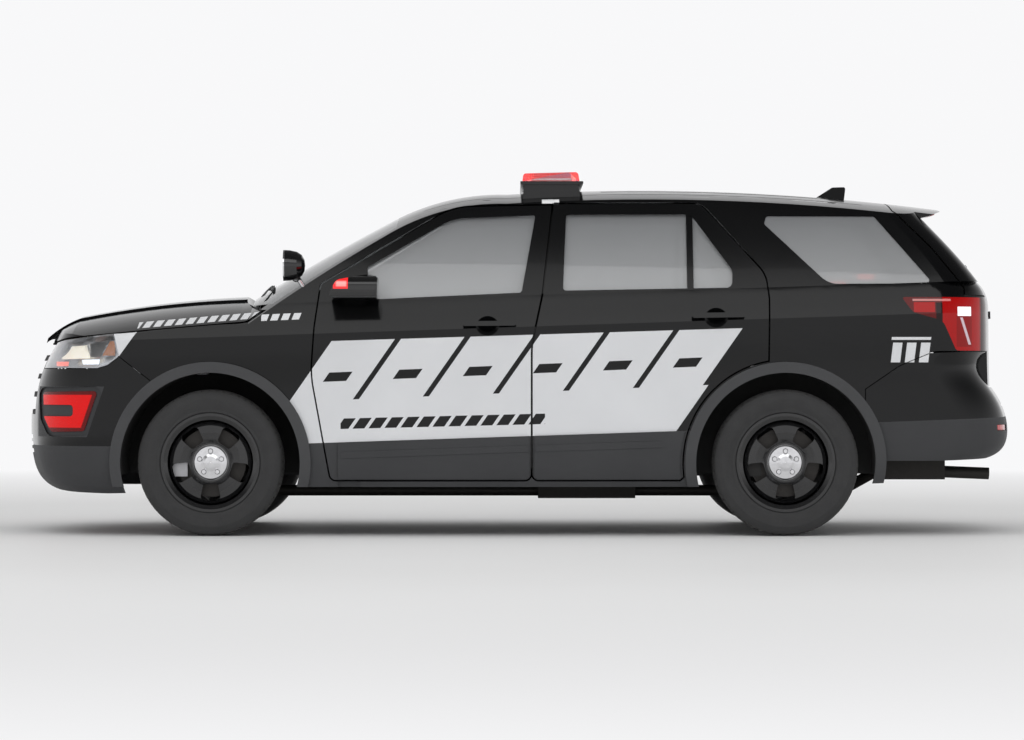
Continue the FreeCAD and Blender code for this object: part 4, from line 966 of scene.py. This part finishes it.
class SUV_OT_mirrors(bpy.types.Operator):
    """Mirror glasses, the spotlight's lens and the cabin mirror"""

    bl_idname = "suv.mirrors"
    bl_label = "Mirrors and Spotlight"

    def execute(self, context):
        for tag, side in SIDES:
            low, high = beside(side, (0.6995, 0.7035), (0.978, 1.129), (1.188, 1.276))
            glass = loaf("mirror_glass_" + tag, low, high, 0.0015, 0.0004)
            edit()
            bpy.ops.mesh.bisect(plane_co=(0, side * 1.1, 1.272), plane_no=(0, side * 0.62, 0.78),
                                clear_outer=True, use_fill=True)
            leave_edit()
            finish_piece(glass, "bright_metal", "front_door_" + tag)
        lens = dome("spotlight_lens", 0.2, 0.19, 20, (1.1705 - 0.2, 0.9, 1.345))
        finish_piece(lens, "reflector_foil")
        inner = loaf("cabin_mirror", (0.512, -0.125, 1.5), (0.534, 0.125, 1.56), 0.009, 0.001)
        finish_piece(inner, "gloss_plastic")
        return {"FINISHED"}


# ---- seats
SEAT_Y = 0.37
SEAM_REACH = 0.014
SEAM_DEPTH = 0.009
FILL_PRESSURE = 4.0
FILL_FRAMES = 20
# Cushions of the left front seat and the rear bench, millimetres: middle (x, y, z), half
# sizes before they fill out, lean of the back in degrees, fill, seams (axis, place on it).
CUSHIONS = (
    ("front_cushion", (310, 370, 520), (272, 236, 62), -7, 0.8,
     (("y", 150), ("y", -150), ("x", -60))),
    ("front_back", (52, 370, 868), (58, 232, 282), -14, 0.8,
     (("y", 150), ("y", -150), ("z", 60))),
    ("front_head_rest", (-8, 370, 1254), (34, 118, 66), -7, 0.9, (("y", 78), ("y", -78))),
    ("rear_cushion", (-520, 0, 500), (250, 578, 58), -2, 0.7,
     (("y", 205), ("y", -205), ("x", -40))),
    ("rear_back", (-783, 0, 850), (52, 578, 264), -13, 0.7,
     (("y", 205), ("y", -205), ("z", 40))),
)
# Frame of a front seat: name, finish, x, y from the seat's middle, z, bevel, dish
SEAT_FRAME = (
    ("seat_base", "cabin_plastic", (0.05, 0.56), (-0.225, 0.225), (0.372, 0.452), 0.018, 0.0),
    ("seat_shell", "cabin_plastic", (-0.062, -0.03), (-0.215, 0.215), (0.56, 0.78), 0.01, 0.002),
    ("head_rest_post_in", "bright_metal", (-0.02, -0.008), (-0.062, -0.05), (1.12, 1.2), 0.003, 0),
    ("head_rest_post_out", "bright_metal", (-0.02, -0.008), (0.05, 0.062), (1.12, 1.2), 0.003, 0),
)


def sew(piece, middle, turn, seams):
    """Sewn channels: points near each seam line sink along their normals."""
    mesh = piece.data
    normals = [vertex.normal.copy() for vertex in mesh.vertices]
    back = turn.inverted()
    for vertex, normal in zip(mesh.vertices, normals):
        local = back @ (vertex.co - middle)
        sink = 0.0
        for axis, at in seams:
            gap = abs(local["xyz".index(axis)] - at / 1000)
            if gap < SEAM_REACH:
                sink = max(sink, (1 - (gap / SEAM_REACH) ** 2) ** 2 * SEAM_DEPTH)
        vertex.co -= normal * sink


def fill_out(piece, cap):
    """Cloth under pressure with no gravity; no point moves further than the cap."""
    rest = [vertex.co.copy() for vertex in piece.data.vertices]
    cloth = piece.modifiers.new("fill", "CLOTH")
    cloth.settings.use_pressure = True
    cloth.settings.uniform_pressure_force = FILL_PRESSURE
    cloth.settings.effector_weights.gravity = 0.0
    cloth.settings.quality = 4
    for number in range(1, FILL_FRAMES + 1):
        bpy.context.scene.frame_set(number)
    bpy.context.view_layer.objects.active = piece
    bpy.ops.object.modifier_apply(modifier=cloth.name)
    bpy.context.scene.frame_set(1)
    for vertex, at in zip(piece.data.vertices, rest):
        move = vertex.co - at
        if move.length > cap:
            vertex.co = at + move * (cap / move.length)


class SUV_OT_seats(bpy.types.Operator):
    """Fill and sew the seats' cushions, backs and head rests, and set them on their frames"""

    bl_idname = "suv.seats"
    bl_label = "Seats"

    def execute(self, context):
        for stem, middle, half, lean, fill, seams in CUSHIONS:
            middle = Vector(middle) / 1000
            piece = start("cube", stem, size=2.0)
            piece.data.transform(Matrix.Diagonal((*[h / 1000 for h in half], 1)))
            edit()
            bpy.ops.mesh.bevel(offset=min(half) * 0.00062, segments=4, affect="EDGES")
            leave_edit()
            move_mesh(piece, middle, leaned(lean))
            apply(piece, "REMESH", mode="VOXEL", voxel_size=0.009 if half[1] > 300 else 0.0065)
            fill_out(piece, context.scene.suv.cushion_rise)
            sew(piece, middle, leaned(lean).to_3x3(), seams)
            apply(piece, "SUBSURF", levels=1, render_levels=1)
            cushions, seat = [piece], "rear_seat"
            if stem.startswith("front"):
                cushions.append(twin(piece, stem + "_right", (0, -2 * SEAT_Y, 0)))
                piece.name = piece.data.name = stem + "_left"
                seat = "front_seats"
            for cushion in cushions:
                finish_piece(cushion, "seat_cloth", "body", 60)
                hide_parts(seat)
        for tag, side in SIDES:
            for name, finish, x, ys, z, bevel, dish in SEAT_FRAME:
                low, high = zip(x, [side * SEAT_Y + y for y in ys], z)
                finish_piece(loaf("%s_%s" % (name, tag), low, high, bevel, dish), finish)
            # The buckle takes the red lens finish and glows faintly: painted light on a part that
            # is no lamp.
            low, high = beside(side, (0.045, 0.075), (0.096, 0.12), (0.47, 0.58))
            finish_piece(loaf("belt_buckle_" + tag, low, high, 0.005, 0.001), "red_lens")
        plinth = loaf("rear_seat_base", (-0.78, -0.56, 0.372), (-0.3, 0.56, 0.44), 0.018)
        finish_piece(plinth, "cabin_plastic")
        return {"FINISHED"}


# ---- cabin, wipers and trim
HUB = Vector((0.68, 0.37, 0.985))
HUB_LEAN = 25.5
DASH_LEAN = -10.5
SCREEN_LEAN = -3.4
SLAT_LEAN = 20
PEDAL_LEAN = -32
CONSOLE_LEAN = -math.degrees(math.atan2(160, 900))
STALK_X, STALK_Z = 0.735, 0.965
# Door cards: door, its armrest (x from, x to), insert (x from, x to), speaker x, z
DOOR_CARDS = (
    ("front_door", (0.1, 0.64), (0.08, 0.78), (0.79, 0.475)),
    ("rear_door", (-0.82, -0.33), (-0.84, -0.21), (-0.33, 0.5)),
)


class SUV_OT_cabin(bpy.types.Operator):
    """Dashboard screen, vents, gauges, stalks, pedals, wheel pad and console switches"""

    bl_idname = "suv.cabin"
    bl_label = "Cabin"

    def execute(self, context):
        fit_all(slab, (
            ("centre_screen", "display_glass", (0.7285, 0, 0.975), (0.004, 0.108, 0.056),
             SCREEN_LEAN, 0.003, 0.0015),
            ("gauge_cluster", "display_glass", (0.769, 0.37, 1.094), (0.003, 0.14, 0.028),
             -2, 0.002, 0.001),
            ("console_plate", "gloss_plastic", (0.56, 0, 0.693), (0.1, 0.085, 0.007),
             CONSOLE_LEAN, 0.004, 0.0015),
            ("console_armrest", "seat_vinyl", (0.2, 0, 0.655), (0.13, 0.088, 0.03),
             CONSOLE_LEAN, 0.014, 0.001)))
        knobs = slab("centre_knobs", (0.722, -0.085, 0.897), (0.008, 0.013, 0.013), SCREEN_LEAN,
                     0.005)
        finish_piece(row(knobs, 3, (0, 0.085, 0)), "bright_metal")
        for number, y in enumerate((0.7, 0.18, -0.18, -0.7), 1):
            ring = slab("vent_frame_%d" % number, (0.7375, y, 1.006), (0.006, 0.052, 0.03),
                        DASH_LEAN, 0.004, 0.008)
            finish_piece(ring, "gloss_plastic")
            slat = slab("vent_slats_%d" % number, (0.7325, y, 0.986), (0.005, 0.04, 0.0012),
                        SLAT_LEAN, 0.0005)
            finish_piece(row(slat, 5, (0.0018, 0, 0.01)), "grey_moulding")
        pad_at = HUB + Vector((-0.9, 0, 0.43)) * 0.024
        pad = slab("steering_pad", pad_at, (0.02, 0.062, 0.056), HUB_LEAN, 0.016, 0.0015)
        finish_piece(pad, "cabin_plastic", "steering_wheel")
        for name, y, end, drop in (("signal_stalk", 0.425, 0.53, 0.012),
                                   ("gear_stalk", 0.315, 0.19, 0.045)):
            reach = y - end
            fit_all(rod, (
                (name, "grey_moulding", (STALK_X, y, STALK_Z), (0.722, end, STALK_Z + drop),
                 0.0065, 0.002),
                (name + "_tip", "cabin_plastic", (0.7225, end + reach * 0.1, STALK_Z + drop * 0.9),
                 (0.7205, end - reach * 0.14, STALK_Z + drop * 1.14), 0.01, 0.004)))
        for name, y, z, half in (("accelerator", 0.27, 0.47, (0.007, 0.027, 0.075)),
                                 ("brake_pedal", 0.375, 0.515, (0.007, 0.05, 0.034))):
            pedal = slab(name, (1.03, y, z), half, PEDAL_LEAN, 0.004, 0.002)
            finish_piece(pedal, "seal_rubber")
            arm = rod(name + "_arm", (1.038, y, z + 0.02), (1.12, y, 0.76), 0.008)
            finish_piece(arm, "chassis_black")
        switches = slab("console_switches", (0.5, -0.06, 0.6915), (0.009, 0.01, 0.005),
                        CONSOLE_LEAN, 0.002, 0.001)
        for count, step in ((4, (0.0394, 0, 0.007)), (5, (0, 0.03, 0))):
            row(switches, count, step)
        finish_piece(switches, "grey_moulding")
        return {"FINISHED"}


class SUV_OT_door_cards(bpy.types.Operator):
    """Inserts, armrests, pulls and speakers on the doors' inner faces"""

    bl_idname = "suv.door_cards"
    bl_label = "Door Cards"

    def execute(self, context):
        for door, arm, insert, (speaker_x, speaker_z) in DOOR_CARDS:
            # Name, x, y on the left side, z, bevel, dish, finish
            parts = (
                ("insert", insert, (0.85, 0.874), (0.865, 1.01), 0.008, 0.002, "seat_vinyl"),
                ("armrest", arm, (0.8, 0.868), (0.785, 0.838), 0.016, 0.0, "cabin_plastic"),
                ("switches", (arm[1] - 0.17, arm[1] - 0.04), (0.812, 0.85), (0.834, 0.842),
                 0.002, 0.001, "gloss_plastic"),
                ("release", (insert[1] - 0.11, insert[1] - 0.02), (0.838, 0.856), (0.945, 0.972),
                 0.006, 0.002, "bright_metal"),
                ("pocket", (insert[0] + 0.06, speaker_x - 0.13), (0.826, 0.868), (0.44, 0.56),
                 0.014, 0.003, "grey_moulding"))
            for tag, side in SIDES:
                body = "%s_%s" % (door, tag)
                for name, x, y, z, bevel, dish, finish in parts:
                    piece = loaf("%s_%s" % (body, name), *beside(side, x, y, z), bevel, dish)
                    finish_piece(piece, finish, body)
                cone = rod(body + "_speaker", (speaker_x, side * 0.872, speaker_z),
                           (speaker_x, side * 0.85, speaker_z), 0.072, 0.004)
                edit()
                pick(cone, lambda face: face.normal.y * side < -0.99 and face.calc_area() > 0.005)
                for ring in range(8):
                    bpy.ops.mesh.inset(thickness=0.006, depth=(-1) ** ring * 0.002)
                leave_edit()
                finish_piece(cone, "grey_moulding", body)
        return {"FINISHED"}


# The cowl panel's section from the windscreen's foot forwards: x, z, fall of z with y squared
COWL_SECTION = ((1.334, 1.188, 0.115), (1.344, 1.165, 0.15), (1.372, 1.146, 0.16),
                (1.43, 1.146, 0.16), (1.475, 1.146, 0.16))
COWL_HALF = 0.74
# Name, packed glass, direction of sight, body, pivot, arm's end, blade's ends; millimetres
WIPERS = (
    ("wiper_left", "windshield", "z", 1, "body", (1286, 560), (1259, 270),
     ((1246, 520), (1266, 40))),
    ("wiper_right", "windshield", "z", 1, "body", (1293, -60), (1262, -330),
     ((1266, -110), (1240, -560))),
    ("wiper_rear", "liftgate_glass", "x", -1, "liftgate", (0, 1312), (150, 1338),
     ((-20, 1336), (330, 1348))),
)


class SUV_OT_wipers(bpy.types.Operator):
    """The cowl panel, and wiper arms and blades on the windscreen and the liftgate's glass"""

    bl_idname = "suv.wipers"
    bl_label = "Wipers"

    def execute(self, context):
        cowl = start("grid", "cowl_panel", x_subdivisions=4, y_subdivisions=40, size=2.0)
        for vertex in cowl.data.vertices:
            x, z, fall = COWL_SECTION[round((vertex.co.x + 1) * 2)]
            y = vertex.co.y * COWL_HALF
            vertex.co = (x - 0.075 * y * y, y, z - fall * y * y)
        edit()
        bpy.ops.mesh.normals_make_consistent(inside=False)
        leave_edit()
        apply(cowl, "SOLIDIFY", thickness=0.003, offset=0.0)
        finish_piece(cowl, "grey_moulding")
        for name, node, axis, side, body, pivot, end, blade in WIPERS:
            # Part, its line, widths at both ends, depth, thickness, finish; millimetres
            for part, line, wide, depth, thick, finish in (
                    ("_rubber", blade, (6, 6), -1.0, 7, "seal_rubber"),
                    ("_blade", blade, (14, 12), -8.0, 5, "grey_moulding"),
                    ("_arm", (pivot, end), (20, 11), -13.0, 5, "grey_moulding")):
                piece = patch(name + part, strip(*line, *wide), node, side, (depth - thick) / 1000,
                              thick / 1000, (24, 2), axis)
                finish_piece(piece, finish, body)
        return {"FINISHED"}


class SUV_OT_trim(bpy.types.Operator):
    """Rear reflectors, high brake lamp, key cylinders, tyre valves and reading lamps"""

    bl_idname = "suv.trim"
    bl_label = "Small Trim"

    def execute(self, context):
        for tag, side in SIDES:
            inner, outer = side * 628, side * 792
            shape = ((inner, 522), (outer, 522), (outer, 550), (inner, 550))
            # The reflectors take the red lens finish and glow faintly: a painted reflection.
            reflector = patch("rear_reflector_" + tag, shape, "rear_bumper", -1, -0.002, 0.006,
                              (16, 4), "x")
            finish_piece(reflector, "red_lens")
            key = rod("key_cylinder_" + tag, (0.036, side * 0.99, 1.058),
                      (0.036, side * 1.0165, 1.058), 0.008, 0.002)
            finish_piece(key, "bright_metal", "front_door_" + tag)
        high = slab("high_brake_lamp", (-2.137, 0, 1.6262), (0.01, 0.16, 0.0045), 20.5, 0.002,
                    0.0005)
        finish_piece(high, "red_lens", "liftgate")
        for corner, x, side in WHEELS:
            y = side * (WHEEL_Y + 0.07)
            valve = rod("valve_" + corner, (x + 0.196, y - side * 0.03, AXLE_Z),
                        (x + 0.184, y, AXLE_Z), 0.005, 0.001)
            finish_piece(valve, "seal_rubber", "wheel_" + corner)
        lamp = loaf("reading_lamp", (0.3, -0.1, 1.628), (0.48, 0.1, 1.646), 0.006, 0.001)
        finish_piece(lamp, "grey_moulding")
        return {"FINISHED"}


# Blocks under the bonnet: name, finish, low and high corner, bevel, dish
BAY_BLOCKS = (
    ("engine_cover", "grey_moulding", (1.29, -0.27, 0.93), (1.74, 0.27, 0.99), 0.022, 0.006),
    ("valve_cover", "cast_iron", (1.77, -0.3, 0.7), (1.84, 0.3, 0.88), 0.018, 0.004),
    ("battery", "grey_moulding", (1.93, 0.39, 0.69), (2.11, 0.6, 0.89), 0.006, 0.002),
    ("battery_lid", "cabin_plastic", (1.926, 0.386, 0.888), (2.114, 0.604, 0.912), 0.006, 0.003),
    ("air_box", "grey_moulding", (1.86, -0.62, 0.66), (2.11, -0.36, 0.86), 0.02, 0.006),
    ("coolant_tank", "clamp_white", (1.56, -0.64, 0.82), (1.72, -0.48, 0.96), 0.026),
    ("washer_tank", "clamp_white", (1.56, 0.5, 0.8), (1.7, 0.65, 0.93), 0.026),
    ("fuse_box", "grey_moulding", (1.7, 0.4, 0.82), (1.88, 0.54, 0.915), 0.01, 0.003),
)
# Caps, posts, ducts and hoses: name, finish, two ends, radius, bevel
BAY_RODS = (
    ("oil_cap", "grey_moulding", (1.79, -0.12, 0.87), (1.79, -0.12, 0.905), 0.03, 0.005),
    ("coolant_cap", "grey_moulding", (1.64, -0.56, 0.955), (1.64, -0.56, 0.985), 0.028, 0.005),
    # The washer cap takes the blue LED finish and glows: painted light on a part that is no lamp.
    ("washer_cap", "blue_led", (1.63, 0.575, 0.925), (1.63, 0.575, 0.95), 0.026, 0.005),
    ("battery_post_front", "cast_iron", (2.07, 0.44, 0.908), (2.07, 0.44, 0.93), 0.01, 0.002),
    ("battery_post_rear", "cast_iron", (1.97, 0.44, 0.908), (1.97, 0.44, 0.93), 0.01, 0.002),
    ("intake_duct", "seal_rubber", (1.985, -0.37, 0.8), (1.76, -0.2, 0.9), 0.042, 0.004),
    ("upper_hose", "seal_rubber", (2.15, 0.28, 0.83), (1.83, 0.18, 0.8), 0.021, 0.003),
    ("lower_hose", "seal_rubber", (2.15, -0.28, 0.56), (1.79, -0.18, 0.6), 0.021, 0.003),
)


class SUV_OT_engine_bay(bpy.types.Operator):
    """Engine cover, intake, battery, reservoirs and hoses under the bonnet"""

    bl_idname = "suv.engine_bay"
    bl_label = "Engine Bay"

    def execute(self, context):
        fit_all(loaf, BAY_BLOCKS)
        ribs = loaf("engine_cover_ribs", (1.34, -0.205, 0.984), (1.69, -0.195, 0.998), 0.003)
        finish_piece(row(ribs, 9, (0, 0.05, 0)), "grey_moulding")
        fit_all(rod, BAY_RODS)
        return {"FINISHED"}


# ---- studio
STUDIO_PALE = (0.94, 0.94, 0.95, 1)
AIM = Vector((0, 0, 0.8))


class SUV_OT_studio(bpy.types.Operator):
    """Pale floor, soft lamps and a level side camera"""

    bl_idname = "suv.studio"
    bl_label = "Studio"

    def execute(self, context):
        suv = context.scene.suv
        floor = start("plane", "studio_floor", size=160.0, location=(0, 0, -0.001))
        f = Finish("studio_floor_pale")
        f.set(Base_Color=f.mix(f.noise(0.4, 2.0), 0.8, 0.84), Roughness=0.6)
        x, y, z = f.place()
        far = ((x * x + y * y).root() - 4.5) * 0.12
        seen = f.seen_rays() * far.lowest(1.0).highest(0.0)
        pale = f.add("ShaderNodeEmission", None, {"Color": STUDIO_PALE})
        blend = f.add("ShaderNodeMixShader", None,
                      {0: seen, 1: f.shader.outputs[0], 2: pale.outputs[0]})
        f.feed(f.out.inputs["Surface"], blend.outputs[0])
        floor.data.materials.append(f.material)
        settle(floor)

        world = bpy.data.worlds.new("studio")
        context.scene.world = world
        world.use_nodes = True
        sky = Nodes(world.node_tree)
        spot = sky.add("ShaderNodeTexCoord").outputs["Generated"]
        toward = sky.add("ShaderNodeSeparateXYZ", None, {0: spot})
        ramp = sky.add("ShaderNodeValToRGB", None, {0: toward.outputs["Z"]})
        low, high = ramp.color_ramp.elements
        low.position, low.color = 0.11, STUDIO_PALE
        high.position, high.color = 0.6, rgba(suv.zenith)
        shown = sky.add("ShaderNodeBackground", None, {0: ramp.outputs[0]})
        light = sky.add("ShaderNodeBackground", None, {0: rgba(1.0), 1: suv.sky})
        blend = sky.add("ShaderNodeMixShader", None,
                        {0: sky.seen_rays(), 1: light.outputs[0], 2: shown.outputs[0]})
        sky.add("ShaderNodeOutputWorld", None, {0: blend.outputs[0]})

        for name, place, size, power in (
                ("overhead", (0.0, 1.5, 6.5), (9.0, 5.0), suv.overhead),
                ("near_side", (0.3, 7.4, 6.0), (11.0, 3.4), suv.near_side),
                ("far_side", (-0.5, -9.0, 5.0), (10.0, 3.0), suv.far_side)):
            data = bpy.data.lights.new(name, "AREA")
            data.shape = "RECTANGLE"
            data.size, data.size_y = size
            data.energy = power
            lamp = bpy.data.objects.new(name, data)
            context.scene.collection.objects.link(lamp)
            lamp.location = place
            lamp.visible_glossy = name == "near_side"
            lamp.rotation_euler = (AIM - Vector(place)).to_track_quat("-Z", "Y").to_euler()
        data = bpy.data.cameras.new("side_camera")
        data.lens = suv.lens
        data.sensor_width = 36.0
        data.clip_end = 200.0
        camera = bpy.data.objects.new("side_camera", data)
        context.scene.collection.objects.link(camera)
        camera.location = suv.camera
        camera.rotation_euler = (math.radians(90), 0, math.radians(180))
        context.scene.camera = camera
        context.scene.view_settings.view_transform = "Standard"
        return {"FINISHED"}


class SuvSettings(bpy.types.PropertyGroup):
    """Sizes, colours and levels of the finished vehicle"""

    film: FloatVectorProperty(
        name="Film", description="Colour of the white film on the sides",
        default=(0.8, 0.81, 0.83), subtype="COLOR")
    cladding: FloatVectorProperty(
        name="Cladding", description="Colour of the bare grey mouldings",
        default=(0.04, 0.041, 0.044), subtype="COLOR")
    sky: FloatProperty(
        name="Sky Light", description="Strength of the light from all round",
        default=0.62)
    zenith: FloatProperty(
        name="Zenith", description="Brightness overhead that gloss and glass show",
        default=0.1)
    overhead: FloatProperty(
        name="Overhead Lamp", description="Power of the lamp over the roof",
        default=120.0, unit="POWER")
    near_side: FloatProperty(
        name="Near Lamp", description="Power of the lamp on the camera's side",
        default=170.0, unit="POWER")
    far_side: FloatProperty(
        name="Far Lamp", description="Power of the lamp on the far side",
        default=110.0, unit="POWER")
    cushion_rise: FloatProperty(
        name="Cushion Rise", description="Furthest a cushion's cover moves as it fills",
        default=0.022, unit="LENGTH")
    lens: FloatProperty(
        name="Lens", description="Focal length of the side camera, millimetres",
        default=141.6)
    camera: FloatVectorProperty(
        name="Camera Place", description="Where the side camera stands",
        default=(0.034, 20.96, 0.824), subtype="TRANSLATION", unit="LENGTH")


STEPS = (
    SUV_OT_studio, SUV_OT_finishes, SUV_OT_tyres, SUV_OT_lamps, SUV_OT_light_bar, SUV_OT_mirrors,
    SUV_OT_seats, SUV_OT_cabin, SUV_OT_door_cards, SUV_OT_wipers, SUV_OT_trim, SUV_OT_engine_bay,
)


class SUV_PT_panel(bpy.types.Panel):
    """Every step of the finished vehicle, in order"""

    bl_label = "Police SUV"
    bl_idname = "SUV_PT_panel"
    bl_space_type = "VIEW_3D"
    bl_region_type = "UI"
    bl_category = "Police SUV"

    def draw(self, context):
        for step in STEPS:
            self.layout.operator(step.bl_idname)
        for name in SuvSettings.__annotations__:
            self.layout.prop(context.scene.suv, name)


CLASSES = (SuvSettings, *STEPS, SUV_PT_panel)


def register():
    for item in CLASSES:
        bpy.utils.register_class(item)
    bpy.types.Scene.suv = PointerProperty(type=SuvSettings)


def unregister():
    del bpy.types.Scene.suv
    for item in reversed(CLASSES):
        bpy.utils.unregister_class(item)


def main():
    register()
    for step in STEPS:
        group, name = step.bl_idname.split(".")
        getattr(getattr(bpy.ops, group), name)()


if __name__ == "__main__":
    main()
